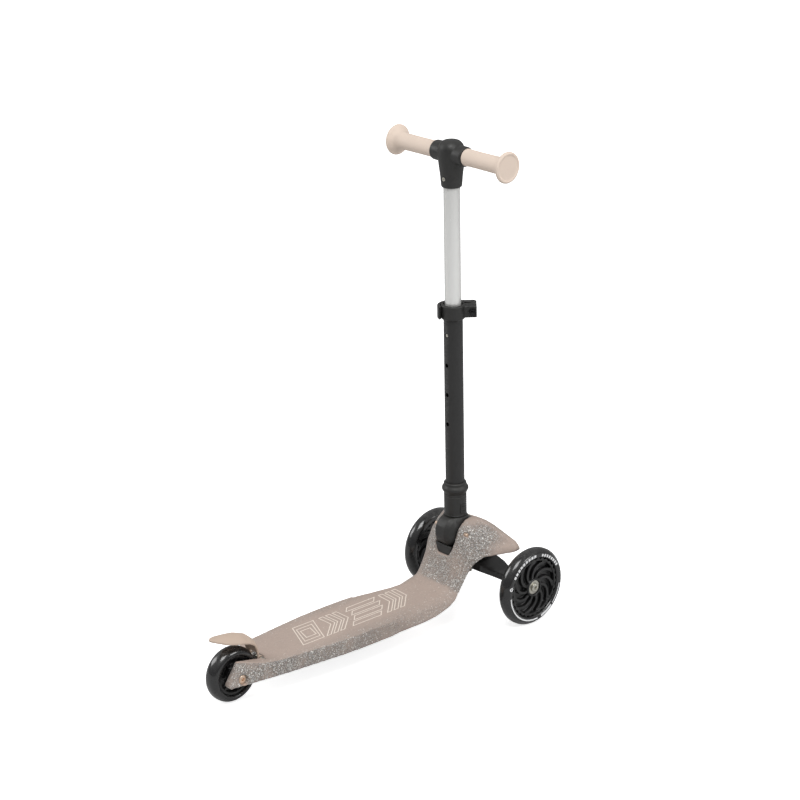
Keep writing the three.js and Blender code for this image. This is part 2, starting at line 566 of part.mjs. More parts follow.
function grip(side) {
  const { inner, outer, radius, capRadius } = GRIP;
  const bore = BAR.radius + FIT_GAP;
  const profile = [
    [bore, inner], [radius, inner], [radius - 0.5, inner + 30], [radius - 0.3, outer - 15],
    [radius + 2, outer - 9],
    [capRadius - 2.5, outer - 6], [capRadius, outer - 4.4], [capRadius, outer - 2],
    [capRadius - 1.6, outer - 0.3],
    [capRadius - 3.2, outer], [capRadius - 4.6, outer - 1], [0, outer - 0.6], [0, BAR.half + 1],
    [bore, BAR.half + 1], [bore, inner]];
  const direction = new THREE.Vector3(side, 0, 0);
  return turned(profile, 20, direction);
}

place("grip_left", grip(1), GRIP_RUBBER, stem, barAt);
place("grip_right", grip(-1), GRIP_RUBBER, stem, barAt);

// ---- front axle bridge ------------------------------------------------------------------------

function axleBridge() {
  const end = BRIDGE_ARM_END;
  const front = alongY(
    mirrored([[0, 90], [16, 89], [28, 83], [38, 74], [48, 68.5], [60, 66.5], [end, 69], [end, 52], [56, 53],
      [36, 56.5], [14, 60], [0, 61]]), -200, -100);
  const plan = plate(
    mirrored([[0, -128], [20, -123], [32, -127], [46, -142], [60, -150], [end, -151.5], [end, -172],
      [50, -174],
      [20, -175], [0, -175]]), 30, 110);
  const side = alongX([
    [-176, 72], [-172, 56], [-163, 51], [-154, 54], [-140, 62], [-121, 72], [-121, 78], [-135, 95],
    [-160, 92]],
  -end, end);
  const hub = cylinder(KINGPIN.hubRadius, -KINGPIN.hubHalf, KINGPIN.hubHalf, 20, KINGPIN_AXIS, onKingpin(0));
  const above = cylinder(24, KINGPIN.hubHalf, 70, 20, KINGPIN_AXIS, onKingpin(0));
  const below = cylinder(11, -70, -KINGPIN.hubHalf, 20, KINGPIN_AXIS, onKingpin(0));
  const hubBore = cylinder(6.6, -60, 60, 18, KINGPIN_AXIS, onKingpin(0));
  const axleBore = (side) => {
    return cylinder(AXLE_RADIUS + FIT_GAP, 50, 100, 14, new THREE.Vector3(side, 0, 0),
      [0, FRONT_WHEEL.y, FRONT_WHEEL.radius]);
  };
  const arms = cut(front.intersect(plan).intersect(side), above, below);
  return cut(arms.add(hub), hubBore, axleBore(1), axleBore(-1));
}

place("axle_bridge", axleBridge(), GLOSS_BLACK);

for (const [name, sign] of [["upper", 1], ["lower", -1]]) {
  const rim = KINGPIN.hubHalf + FIT_GAP;
  const bore = AXLE_RADIUS + FIT_GAP;
  const profile = [
    [bore, rim - 8], [6.3, rim - 8], [6.3, rim], [9.5, rim], [9.5, rim + 1.6], [bore, rim + 1.6],
    [bore, rim - 8]];
  const bush = turned(profile, 16, KINGPIN_AXIS.clone().multiplyScalar(sign));
  place(`kingpin_bush_${name}`, bush, BLACK_PLASTIC, chassis, onKingpin(0));
}

const kingpinTurn = new THREE.Quaternion().setFromUnitVectors(Z_AXIS, KINGPIN_AXIS);

function onKingpinAxis(name, body, material, distance) {
  place(name, body, material, chassis, onKingpin(distance)).quaternion.copy(kingpinTurn);
}

onKingpinAxis("kingpin_stud", turned([
  [0, -24], [AXLE_RADIUS - 0.8, -24], [AXLE_RADIUS, -23], [AXLE_RADIUS, 45], [0, 45]], 16), STEEL, 0);
onKingpinAxis("kingpin_washer", tube(AXLE_RADIUS + FIT_GAP, 9.5, -14.9, -13.4, 16), STEEL, 0);
onKingpinAxis("kingpin_nut", nut(13, AXLE_RADIUS + FIT_GAP, -21.7, -15.2), STEEL, 0);
onKingpinAxis("steering_spring", coil(12.2, 1.2, 2.9, 3, 12), STEEL, 15.6);

// ---- wheels -----------------------------------------------------------------------------------

/** A solid tyre turned about X: flat sides that round into the tread. */
function tyre(coreRadius, radius, halfWidth, shoulder, segments) {
  const seat = coreRadius + FIT_GAP;
  const crown = [40, 90, 140].map((degrees) => {
    const angle = THREE.MathUtils.degToRad(degrees);
    return [radius - shoulder + shoulder * Math.sin(angle), -halfWidth * Math.cos(angle)];
  });
  const profile = [
    [seat, -halfWidth + 2.5], [seat + 2, -halfWidth], [radius - shoulder, -halfWidth], ...crown,
    [radius - shoulder, halfWidth], [seat + 2, halfWidth], [seat, halfWidth - 2.5],
    [seat, -halfWidth + 2.5]];
  return turned(profile, segments, X_AXIS);
}

/** A moulded wheel core: rim, hub and spokes that curve the same way. */
function wheelCore({ radius, rim, hub, halfWidth, hubHalf, spokes, spokeHalf, sweep, segments }) {
  const ring = tube(rim, radius, -halfWidth, halfWidth, segments, X_AXIS);
  const middle = tube(BEARING.radius + FIT_GAP, hub, -hubHalf, hubHalf, 18, X_AXIS);
  const middleWeb = tube(7, hub - 1, -0.4, 0.4, 14, X_AXIS);
  const reach = rim - hub + 2;
  const steps = 3;
  const side = (offset) => Array.from({ length: steps + 1 }, (_, k) => {
    const along = k / steps;
    const angle = sweep * along * along;
    const r = hub - 1 + reach * along;
    const heading = angle + 0.5 * Math.sign(sweep);
    return [
      r * Math.cos(angle) - offset * Math.sin(heading),
      r * Math.sin(angle) + offset * Math.cos(heading),
    ];
  });
  const blade = [...side(-1.9), ...side(1.9).reverse()];
  const spoke = alongX(blade, -spokeHalf, spokeHalf);
  const fan = Array.from({ length: spokes }, (_, k) => spoke.rotate([(360 * k) / spokes, 0, 0]));
  return join(ring, middle, middleWeb, ...fan);
}

const bearing = () => {
  const half = BEARING.width / 2;
  return turned(pipe(BEARING.bore, BEARING.radius, -half, half), 16, X_AXIS);
};

for (const [name, side] of [["left", 1], ["right", -1]]) {
  const { x, y, radius, halfWidth, coreRadius } = FRONT_WHEEL;
  const outward = new THREE.Vector3(side, 0, 0);
  const at = [side * x, y, radius];
  place(`front_tyre_${name}`, tyre(coreRadius, radius, halfWidth, 8, 32), TYRE_CLEAR, chassis, at);
  const core = wheelCore({
    radius: coreRadius, rim: 41.5, hub: 14.5, halfWidth: 8.5, hubHalf: 9.6, spokes: 11, spokeHalf: 6.5,
    sweep: side * 0.75, segments: 30 });
  place(`front_core_${name}`, core, GLOSS_BLACK, chassis, at);
  const offset = 4.3;
  place(`front_bearing_outer_${name}`, bearing(), STEEL, chassis, [side * (x + offset), y, radius]);
  place(`front_bearing_inner_${name}`, bearing(), STEEL, chassis, [side * (x - offset), y, radius]);
  const spacerProfile = pipe(AXLE_RADIUS + FIT_GAP, 7, BRIDGE_ARM_END + FIT_GAP, x - offset - 3.5 - FIT_GAP);
  place(`front_spacer_${name}`, turned(spacerProfile, 16, outward), STEEL, chassis, [0, y, radius]);
  const bolt = socketBolt(AXLE_RADIUS, 6.6, 2.9, 58, x + offset + 3.5 + FIT_GAP + 2.9);
  const mesh = place(`front_axle_bolt_${name}`, bolt, STEEL, chassis, [0, y, radius]);
  mesh.quaternion.setFromUnitVectors(Z_AXIS, outward);
}

const rearTyre = tyre(REAR_WHEEL.coreRadius, REAR_WHEEL.radius, REAR_WHEEL.halfWidth, 9, 28);
place("rear_tyre", rearTyre, TYRE_CLEAR, chassis, REAR_AXLE);
place("rear_core", wheelCore({
  radius: REAR_WHEEL.coreRadius, rim: 25, hub: 14.5, halfWidth: 9, hubHalf: 9, spokes: 6,
    spokeHalf: 6.5, sweep: 0.3,
  segments: 24 }), GLOSS_BLACK, chassis, REAR_AXLE);
for (const [name, side] of [["left", 1], ["right", -1]]) {
  const offset = 5;
  const outer = offset + BEARING.width / 2 + FIT_GAP;
  place(`rear_bearing_${name}`, bearing(), STEEL, chassis, [side * offset, REAR_WHEEL.y, REAR_WHEEL.radius]);
  const spacerProfile = pipe(AXLE_RADIUS + FIT_GAP, 7, outer, DECK.slotHalf - FIT_GAP);
  const spacer = turned(spacerProfile, 16, new THREE.Vector3(side, 0, 0));
  place(`rear_spacer_${name}`, spacer, STEEL, chassis, REAR_AXLE);
}
const rearBolt = place("rear_axle_bolt", socketBolt(AXLE_RADIUS, 6.6, 4.5, -27, 26.4), STEEL, chassis,
  REAR_AXLE);
rearBolt.quaternion.setFromUnitVectors(Z_AXIS, X_AXIS.clone().negate());
const rearNut = place("rear_axle_nut", nut(11, AXLE_RADIUS + FIT_GAP, 21.8, 26.8), STEEL, chassis,
  REAR_AXLE);
rearNut.quaternion.setFromUnitVectors(Z_AXIS, X_AXIS);

// ---- rear brake -------------------------------------------------------------------------------

// Middle line of the mudguard brake from its hinge to its tip, with its half width: y, z, half width.
const BRAKE_SPINE = [
  [281, 51.5, 12.6], [281.4, 60, 12.6], [283.4, 71.5, 14], [288.5, 82.5, 16.5], [298, 91.3, 18.6],
  [312, 96.8, 19.4], [328, 99.3, 18.4], [342, 100.6, 15], [353, 101.3, 8.5], [359, 101.5, 2],
];

function brakeFender() {
  const across = [-1, -0.6, -0.2, 0.2, 0.6, 1];
  const local = BRAKE_SPINE.map(([, , halfWidth]) => {
    const drop = (u) => -BRAKE.crown * u * u * (halfWidth / 19) ** 2;
    const top = across.map((u) => [u * halfWidth, drop(u) + BRAKE.thickness / 2]);
    const under = across.map((u) => [u * halfWidth, drop(u) - BRAKE.thickness / 2]).reverse();
    return [...top, ...under];
  });
  const rings = BRAKE_SPINE.map(([y, z], index) => {
    const before = BRAKE_SPINE[Math.max(index - 1, 0)];
    const after = BRAKE_SPINE[Math.min(index + 1, BRAKE_SPINE.length - 1)];
    const along = new THREE.Vector2(after[0] - before[0], after[1] - before[1]).normalize();
    return local[index].map(([x, rise]) => [x, y - along.y * rise, z + along.x * rise]);
  });
  const sheet = loft(rings, (ring) => local[ring]);
  const barrels = [-1, 1].map((side) => {
    return cylinder(3.8, 8.6, 12.6, 14, new THREE.Vector3(side, 0, 0), [0, BRAKE.pinY, BRAKE.pinZ]);
  });
  return cut(
    join(sheet, ...barrels), box([-8.3, 8.3], [270, 290], [45, 62]),
    cylinder(BRAKE.pinRadius + FIT_GAP, -20, 20, 12, X_AXIS, [0, BRAKE.pinY, BRAKE.pinZ]));
}

place("brake_fender", brakeFender(), GRIP_RUBBER);

// A curved shoe under the mudguard, a few millimetres clear of the tyre.
const shoeArc = (startRadius, endRadius, from, to) => [0, 0.25, 0.5, 0.75, 1].map((t) => {
  const angle = THREE.MathUtils.degToRad(THREE.MathUtils.lerp(from, to, t));
  const radius = THREE.MathUtils.lerp(startRadius, endRadius, t);
  return [REAR_WHEEL.y + radius * Math.cos(angle), REAR_WHEEL.radius + radius * Math.sin(angle)];
});
const shoeProfile = [...shoeArc(45.5, 45.5, 122, 98), ...shoeArc(54, 52, 98, 122)];
place("brake_shoe", alongX(shoeProfile, -7, 7), GRIP_RUBBER);

place("brake_pin", cylinder(BRAKE.pinRadius, -25, 25, 12, X_AXIS), STEEL, chassis, BRAKE_PIN);
const brakeCoil = coil(3.2, 0.5, 1.3, 4, 10);
const brakeSpring = place("brake_spring", brakeCoil, STEEL, chassis, [-2.6, BRAKE.pinY, BRAKE.pinZ]);
brakeSpring.rotation.y = Math.PI / 2;

export default scooter;
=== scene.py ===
"""A child's lean-to-steer kick scooter: moulded deck, three cast wheels, folding stem and cream grips.

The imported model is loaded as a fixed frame. Finer meshes stand for its visible nodes, the rest of its
nodes keep their shape, and every surface gets a procedural finish. Lengths are in metres, and sizes
written with MM are millimetres. +Z is up, the scooter rides towards -Y and its left side is +X.
"""

import json
import logging
import math
from dataclasses import dataclass, field
from enum import Enum
from typing import Callable, Sequence

import bmesh
import bpy
from mathutils import Matrix, Vector


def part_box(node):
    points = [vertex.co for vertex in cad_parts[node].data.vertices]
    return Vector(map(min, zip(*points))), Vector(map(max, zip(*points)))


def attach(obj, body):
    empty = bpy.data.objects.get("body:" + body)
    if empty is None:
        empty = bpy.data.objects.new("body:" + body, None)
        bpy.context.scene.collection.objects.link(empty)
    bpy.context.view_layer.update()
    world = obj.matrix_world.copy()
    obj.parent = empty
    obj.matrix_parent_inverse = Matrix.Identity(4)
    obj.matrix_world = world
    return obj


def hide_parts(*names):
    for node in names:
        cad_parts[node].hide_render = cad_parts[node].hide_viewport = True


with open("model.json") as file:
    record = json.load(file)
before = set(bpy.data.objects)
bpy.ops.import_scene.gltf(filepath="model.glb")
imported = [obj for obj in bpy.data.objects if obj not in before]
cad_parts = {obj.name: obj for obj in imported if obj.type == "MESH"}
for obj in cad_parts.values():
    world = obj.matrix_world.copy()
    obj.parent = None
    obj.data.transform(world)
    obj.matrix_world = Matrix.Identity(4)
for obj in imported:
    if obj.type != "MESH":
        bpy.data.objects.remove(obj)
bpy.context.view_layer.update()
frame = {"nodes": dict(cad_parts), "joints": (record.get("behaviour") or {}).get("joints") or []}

LOG = logging.getLogger("kick_scooter")
MM = 0.001

Colour = tuple[float, float, float]
Point = tuple[float, float]
Corner = tuple[float, float, float]
Profile = Sequence[Point]
Feed = bpy.types.NodeSocket | tuple[float, ...] | float
Sockets = bpy.types.bpy_prop_collection


# ---- shader helpers ----------------------------------------------------------------------------


def srgb(red: int, green: int, blue: int) -> Colour:
    """Turns an 8-bit display colour into a linear one.

    Args:
        red: Red from 0 to 255.
        green: Green from 0 to 255.
        blue: Blue from 0 to 255.

    Returns:
        The linear colour.
    """
    def linear(channel: int) -> float:
        """Turns one channel linear."""
        share = channel / 255
        return share / 12.92 if share <= 0.04045 else ((share + 0.055) / 1.055) ** 2.4
    return linear(red), linear(green), linear(blue)


class NodeBook:
    """Adds nodes to one node tree and links them, with short calls for the usual ones."""

    def __init__(self, tree: bpy.types.NodeTree) -> None:
        """Keeps the tree that the nodes go in."""
        self.tree = tree

    def add(self, kind: str, inputs: dict | None = None, **settings: object) -> bpy.types.Node:
        """Adds a node.

        Args:
            kind: Its type, without the ShaderNode prefix.
            inputs: Values or sockets for its inputs, by name or number.
            **settings: Properties to set on the node.

        Returns:
            The new node.
        """
        node = self.tree.nodes.new("ShaderNode" + kind)
        for name, value in settings.items():
            setattr(node, name, value)
        for key, value in (inputs or {}).items():
            self.feed(node.inputs[key], value)
        return node

    def feed(self, socket: bpy.types.NodeSocket, value: Feed) -> None:
        """Links a socket to an input, or sets the input's own value.

        Args:
            socket: The input.
            value: The socket to link, or the value to set.
        """
        if isinstance(value, bpy.types.NodeSocket):
            self.tree.links.new(value, socket)
        elif isinstance(value, tuple) and len(value) == 3 and socket.type == "RGBA":
            socket.default_value = (*value, 1)
        else:
            socket.default_value = value

    def math(self, operation: str, *values: Feed, clamp: bool = False) -> bpy.types.NodeSocket:
        """Adds a Math node.

        Args:
            operation: The node's operation.
            *values: Its inputs in order.
            clamp: Whether the result is kept between 0 and 1.

        Returns:
            The result's socket.
        """
        node = self.add("Math", dict(enumerate(values)), operation=operation, use_clamp=clamp)
        return node.outputs[0]

    def ramp(self, value: Feed, low: float, high: float) -> bpy.types.NodeSocket:
        """Smoothly takes a value from 0 to 1.

        Args:
            value: The value.
            low: Where the result is 0; it may be the larger limit.
            high: Where the result is 1.

        Returns:
            The result's socket.
        """
        if low < high:
            limits = {"Value": value, "From Min": low, "From Max": high, "To Min": 0.0, "To Max": 1.0}
        else:
            limits = {"Value": value, "From Min": high, "From Max": low, "To Min": 1.0, "To Max": 0.0}
        return self.add("MapRange", limits, interpolation_type="SMOOTHSTEP").outputs[0]

    def mix(self, factor: Feed, first: Feed, second: Feed) -> bpy.types.NodeSocket:
        """Mixes two colours.

        Args:
            factor: The second colour's share.
            first: The first colour.
            second: The second colour.

        Returns:
            The mixed colour's socket.
        """
        node = self.add("Mix", data_type="RGBA")
        self.feed(node.inputs[0], factor)
        self.feed(node.inputs[6], first)
        self.feed(node.inputs[7], second)
        return node.outputs[2]

    def noise(self, scale: Feed, detail: float = 2.0, vector: Feed | None = None) -> bpy.types.NodeSocket:
        """Adds a noise field over the object's own coordinates, or over a given vector."""
        inputs = {"Vector": vector or self.place(), "Scale": scale, "Detail": detail}
        return self.add("TexNoise", inputs).outputs["Fac"]

    def place(self) -> bpy.types.NodeSocket:
        """Gives the object's own coordinates."""
        return self.add("TexCoord").outputs["Object"]

    def parts(self, vector: Feed) -> Sockets:
        """Splits a vector into its X, Y and Z sockets."""
        return self.add("SeparateXYZ", {0: vector}).outputs


class Effect(Enum):
    """The shared effects that the finishes place as shader node groups."""

    GRAIN = "fine_grain"
    WEAR = "edge_wear"
    FLAKES = "glitter_flakes"
    DUST = "settled_dust"
    MOTTLE = "colour_mottle"


Group = tuple[bpy.types.NodeTree, NodeBook, Sockets, Sockets]


def start_group(effect: Effect, inputs: dict[str, float], outputs: Sequence[str]) -> Group:
    """Starts a shader node group whose inputs and outputs are all numbers.

    Args:
        effect: The effect it is for.
        inputs: Input names and their usual values.
        outputs: Output names.

    Returns:
        The tree, its node book, and the sockets of its inputs and its outputs.
    """
    tree = bpy.data.node_groups.new(effect.value, "ShaderNodeTree")
    for name, value in inputs.items():
        socket = tree.interface.new_socket(name, in_out="INPUT", socket_type="NodeSocketFloat")
        socket.default_value = value
    for name in outputs:
        tree.interface.new_socket(name, in_out="OUTPUT", socket_type="NodeSocketFloat")
    start = tree.nodes.new("NodeGroupInput")
    end = tree.nodes.new("NodeGroupOutput")
    return tree, NodeBook(tree), start.outputs, end.inputs


def make_grain() -> bpy.types.NodeTree:
    """Makes moulded plastic's grain: a height of fine dimples and a roughness mask of larger ones.

    Returns:
        The shader node group.
    """
    inputs = {"Scale": 1500.0, "Softness": 0.5}
    tree, book, given, wanted = start_group(Effect.GRAIN, inputs, ("Height", "Mask"))
    place = book.place()
    fine = book.noise(given["Scale"], 3.0, place)
    cells = book.add("TexVoronoi", {"Vector": place, "Scale": given["Scale"]}).outputs["Distance"]
    blend = book.add("Mix", {0: given["Softness"], 2: cells, 3: fine}).outputs[0]
    book.feed(wanted["Height"], blend)
    coarse = book.math("DIVIDE", given["Scale"], 24.0)
    patches = book.noise(coarse, 4.0, place)
    book.feed(wanted["Mask"], book.ramp(patches, 0.35, 0.7))
    return tree


def make_wear() -> bpy.types.NodeTree:
    """Makes rubbed edges: a mask on convex edges, broken up by noise.

    Returns:
        The shader node group.
    """
    tree, book, given, wanted = start_group(Effect.WEAR, {"Amount": 0.5, "Scale": 300.0}, ("Mask",))
    sharp = book.ramp(book.add("NewGeometry").outputs["Pointiness"], 0.52, 0.6)
    spots = book.noise(given["Scale"], 5.0)
    broken = book.math("MULTIPLY", sharp, book.ramp(spots, 0.42, 0.62))
    book.feed(wanted["Mask"], book.math("MULTIPLY", broken, given["Amount"], clamp=True))
    return tree


def make_flakes() -> bpy.types.NodeTree:
    """Makes glitter: a mask of separate flakes, and each flake's own brightness.

    Returns:
        The shader node group.
    """
    inputs = {"Scale": 900.0, "Density": 0.5, "Size": 0.4}
    tree, book, given, wanted = start_group(Effect.FLAKES, inputs, ("Mask", "Brightness"))
    cells = book.add("TexVoronoi", {"Vector": book.place(), "Scale": given["Scale"]})
    chance = book.add("SeparateColor", {0: cells.outputs["Color"]}).outputs
    present = book.math("LESS_THAN", chance[0], given["Density"])
    near = book.math("LESS_THAN", cells.outputs["Distance"], given["Size"])
    book.feed(wanted["Mask"], book.math("MULTIPLY", present, near))
    book.feed(wanted["Brightness"], chance[1])
    return tree


def make_dust() -> bpy.types.NodeTree:
    """Makes a thin settled dust: a mask on surfaces that face up, in soft patches.

    Returns:
        The shader node group.
    """
    tree, book, given, wanted = start_group(Effect.DUST, {"Amount": 0.2, "Scale": 40.0}, ("Mask",))
    up = book.ramp(book.parts(book.add("NewGeometry").outputs["Normal"])["Z"], 0.2, 0.95)
    patches = book.noise(given["Scale"], 6.0)
    settled = book.math("MULTIPLY", up, book.ramp(patches, 0.35, 0.75))
    book.feed(wanted["Mask"], book.math("MULTIPLY", settled, given["Amount"], clamp=True))
    return tree


def make_mottle() -> bpy.types.NodeTree:
    """Makes slow colour change over a moulding: a mask round one half.

    Returns:
        The shader node group.
    """
    tree, book, given, wanted = start_group(Effect.MOTTLE, {"Scale": 18.0, "Contrast": 0.5}, ("Mask",))
    slow = book.noise(given["Scale"], 3.0)
    swing = book.math("MULTIPLY", book.math("SUBTRACT", slow, 0.5), given["Contrast"])
    book.feed(wanted["Mask"], book.math("ADD", swing, 0.5, clamp=True))
    return tree


EFFECT_MAKERS: dict[Effect, Callable[[], bpy.types.NodeTree]] = {
    Effect.GRAIN: make_grain, Effect.WEAR: make_wear, Effect.FLAKES: make_flakes,
    Effect.DUST: make_dust, Effect.MOTTLE: make_mottle}


def effect_outputs(book: NodeBook, effect: Effect, **inputs: Feed) -> Sockets:
    """Places a shared effect in a material.

    Args:
        book: The material's nodes.
        effect: Which effect.
        **inputs: Its inputs by name.

    Returns:
        The group node's outputs.
    """
    tree = bpy.data.node_groups.get(effect.value) or EFFECT_MAKERS[effect]()
    node = book.tree.nodes.new("ShaderNodeGroup")
    node.node_tree = tree
    for name, value in inputs.items():
        book.feed(node.inputs[name], value)
    return node.outputs


# ---- finishes ----------------------------------------------------------------------------------


@dataclass(frozen=True)
class Finish:
    """What every finish has: a name, the record's slot it stands for, a colour and a roughness."""

    name: str
    slot: str
    colour: Colour
    roughness: float = 0.5

    def material(self) -> bpy.types.Material:
        """Gives the finish's material, made once.

        Returns:
            The material.
        """
        title = f"{self.name}_finish"
        known = bpy.data.materials.get(title)
        if known:
            return known
        made = bpy.data.materials.new(title)
        made.use_nodes = True
        made.diffuse_color = (*self.colour, 1)
        made.node_tree.nodes.clear()
        book = NodeBook(made.node_tree)
        shader = book.add("BsdfPrincipled", {"Base Color": self.colour, "Roughness": self.roughness})
        book.add("OutputMaterial", {"Surface": shader.outputs[0]})
        self.paint(book, shader)
        return made

    def paint(self, book: NodeBook, shader: bpy.types.Node) -> None:
        """Adds the finish's own nodes."""

    def bump(self, book: NodeBook, shader: bpy.types.Node, height: Feed, strength: float,
             depth: float) -> None:
        """Raises a height field on the surface.

        Args:
            book: The material's nodes.
            shader: Its shader.
            height: The height's socket.
            strength: How strongly it shows.
            depth: Its depth in metres.
        """
        inputs = {"Height": height, "Strength": strength, "Distance": depth}
        book.feed(shader.inputs["Normal"], book.add("Bump", inputs).outputs[0])

    def roughen(self, book: NodeBook, shader: bpy.types.Node, mask: Feed, change: float) -> None:
        """Adds a change in roughness where a mask is 1."""
        rough = book.math("MULTIPLY_ADD", mask, change, self.roughness)
        book.feed(shader.inputs["Roughness"], rough)


@dataclass(frozen=True)
class MouldedPlastic(Finish):
    """Injection-moulded plastic or rubber with a grain, slow colour change, rubbed edges and dust."""

    grain_scale: float = 1500.0
    grain_strength: float = 0.25
    mottle: float = 0.35
    wear: float = 0.5
    dust: float = 0.12
    coat: float = 0.0

    def paint(self, book: NodeBook, shader: bpy.types.Node) -> None:
        """Paints the colour and adds the grain.

        Args:
            book: The material's nodes.
            shader: Its shader.
        """
        slow = effect_outputs(book, Effect.MOTTLE, Scale=22.0, Contrast=self.mottle * 2)["Mask"]
        dark = tuple(channel * 0.86 for channel in self.colour)
        light = tuple(min(channel * 1.12 + 0.004, 1) for channel in self.colour)
        colour = book.mix(slow, dark, light)
        rubbed = tuple(min(channel * 1.5 + 0.05, 1) for channel in self.colour)
        worn = effect_outputs(book, Effect.WEAR, Amount=self.wear)["Mask"]
        colour = book.mix(worn, colour, rubbed)
        settled = effect_outputs(book, Effect.DUST, Amount=self.dust)["Mask"]
        colour = book.mix(settled, colour, srgb(196, 190, 182))
        book.feed(shader.inputs["Base Color"], colour)
        grain = effect_outputs(book, Effect.GRAIN, Scale=self.grain_scale)
        self.roughen(book, shader, grain["Mask"], 0.12)
        self.bump(book, shader, grain["Height"], self.grain_strength, 0.15 * MM)
        shader.inputs["Coat Weight"].default_value = self.coat
        shader.inputs["Coat Roughness"].default_value = 0.12


@dataclass(frozen=True)
class GlitterPlastic(Finish):
    """Matte beige plastic with silver flakes, dense on its upright faces and sparse on its top; the greyer
    ground on upright faces is partly painted side shade.
    """

    flake_scales: tuple[float, ...] = (540.0, 950.0)
    # Grey under the flakes on upright faces: the glitter's own ground and painted side shade together.
    ground: Colour = srgb(122, 117, 112)
    dark_flake: Colour = srgb(92, 92, 92)
    light_flake: Colour = srgb(255, 253, 248)
    wing_fade: Point = (74.0, 52.0)
    slope_heights: Point = (100.0, 58.0)
    side_heights: Point = (66.0, 54.0)
    side_stretch: Point = (130.0, -60.0)
    border: Point = (26.0, 54.0)

    def shade(self, factor: float) -> Colour:
        """Gives the finish's colour, darker or lighter by a factor."""
        return tuple(min(channel * factor, 1) for channel in self.colour)

    def across(self, book: NodeBook, value: Feed, limits: Point) -> bpy.types.NodeSocket:
        """Smoothly takes a length from 0 to 1 between two limits in millimetres."""
        return book.ramp(value, limits[0] * MM, limits[1] * MM)

    def glitter_mask(self, book: NodeBook) -> bpy.types.NodeSocket:
        """Finds where the glitter lies thick and the painted side shade falls: on upright faces, less low
        down, and by the top's border.

        Args:
            book: The material's nodes.

        Returns:
            The mask's socket.
        """
        normal = book.parts(book.add("NewGeometry").outputs["Normal"])
        place = book.parts(book.place())
        off_centre = book.math("ABSOLUTE", place["X"])
        upright = book.ramp(normal["Z"], 0.9, 0.5)
        outer = self.across(book, off_centre, self.wing_fade)
        drifts = book.ramp(book.noise(26.0, 4.0), 0.28, 0.56)
        spread = book.math("MULTIPLY_ADD", drifts, 0.55, 0.45)
        facing_back = book.ramp(normal["Y"], 0.2, 0.5)
        low_slope = book.math("MULTIPLY", facing_back, self.across(book, place["Z"], self.slope_heights))
        fade = book.math("MULTIPLY", spread, book.math("MULTIPLY_ADD", low_slope, -0.1, 1.0))
        low_side = book.math("MULTIPLY", self.across(book, place["Z"], self.side_heights),
                             self.across(book, place["Y"], self.side_stretch))
        fade = book.math("MULTIPLY", fade, book.math("MULTIPLY_ADD", low_side, -0.65, 1.0))
        border = book.math("MULTIPLY", self.across(book, off_centre, self.border), 0.3)
        sides = book.math("MULTIPLY", book.math("MULTIPLY", upright, outer), fade)
        return book.math("MAXIMUM", sides, book.math("MULTIPLY", border, outer))

    def plain_beige(self, book: NodeBook) -> bpy.types.NodeSocket:
        """Paints the plastic under the flakes: slow patches, clouds and a fine speckle.

        Args:
            book: The material's nodes.

        Returns:
            The colour's socket.
        """
        slow = effect_outputs(book, Effect.MOTTLE, Scale=15.0, Contrast=1.2)["Mask"]
        beige = book.mix(slow, self.shade(0.88), self.shade(1.13))
        clouds = book.math("MULTIPLY", book.ramp(book.noise(260.0, 4.0), 0.35, 0.65), 0.28)
        beige = book.mix(clouds, beige, self.shade(0.8))
        speckle = book.ramp(book.noise(1700.0, 1.0), 0.42, 0.62)
        return book.mix(book.math("MULTIPLY", speckle, 0.3), beige, self.shade(0.62))

    def paint(self, book: NodeBook, shader: bpy.types.Node) -> None:
        """Paints the beige, the greyer ground under the flakes (partly painted side shade), and the flakes.

        Args:
            book: The material's nodes.
            shader: Its shader.
        """
        thick = self.glitter_mask(book)
        # The greyer ground darkens the upright faces: partly the glitter's ground, partly painted side shade.
        colour = book.mix(book.math("MULTIPLY", thick, 0.72), self.plain_beige(book), self.ground)
        height: Feed = 0.0
        for scale in self.flake_scales:
            density = book.math("MULTIPLY_ADD", thick, 0.6, 0.05)
            flakes = effect_outputs(book, Effect.FLAKES, Scale=scale, Density=density, Size=0.46)
            bright = book.math("POWER", flakes["Brightness"], 1.6)
            flake = book.mix(bright, self.dark_flake, self.light_flake)
            shown = book.math("MULTIPLY", flakes["Mask"], book.math("MULTIPLY_ADD", thick, 0.6, 0.4))
            colour = book.mix(shown, colour, flake)
            height = book.math("ADD", height, flakes["Mask"])
        worn = effect_outputs(book, Effect.WEAR, Amount=0.35)["Mask"]
        book.feed(shader.inputs["Base Color"], book.mix(worn, colour, self.shade(1.3)))
        grain = effect_outputs(book, Effect.GRAIN, Scale=1300.0)
        rough = book.math("MULTIPLY_ADD", grain["Mask"], 0.1, self.roughness)
        shine = book.math("MULTIPLY", height, -0.18)
        book.feed(shader.inputs["Roughness"], book.math("ADD", rough, shine))
        self.bump(book, shader, book.math("ADD", grain["Height"], height), 0.3, 0.12 * MM)


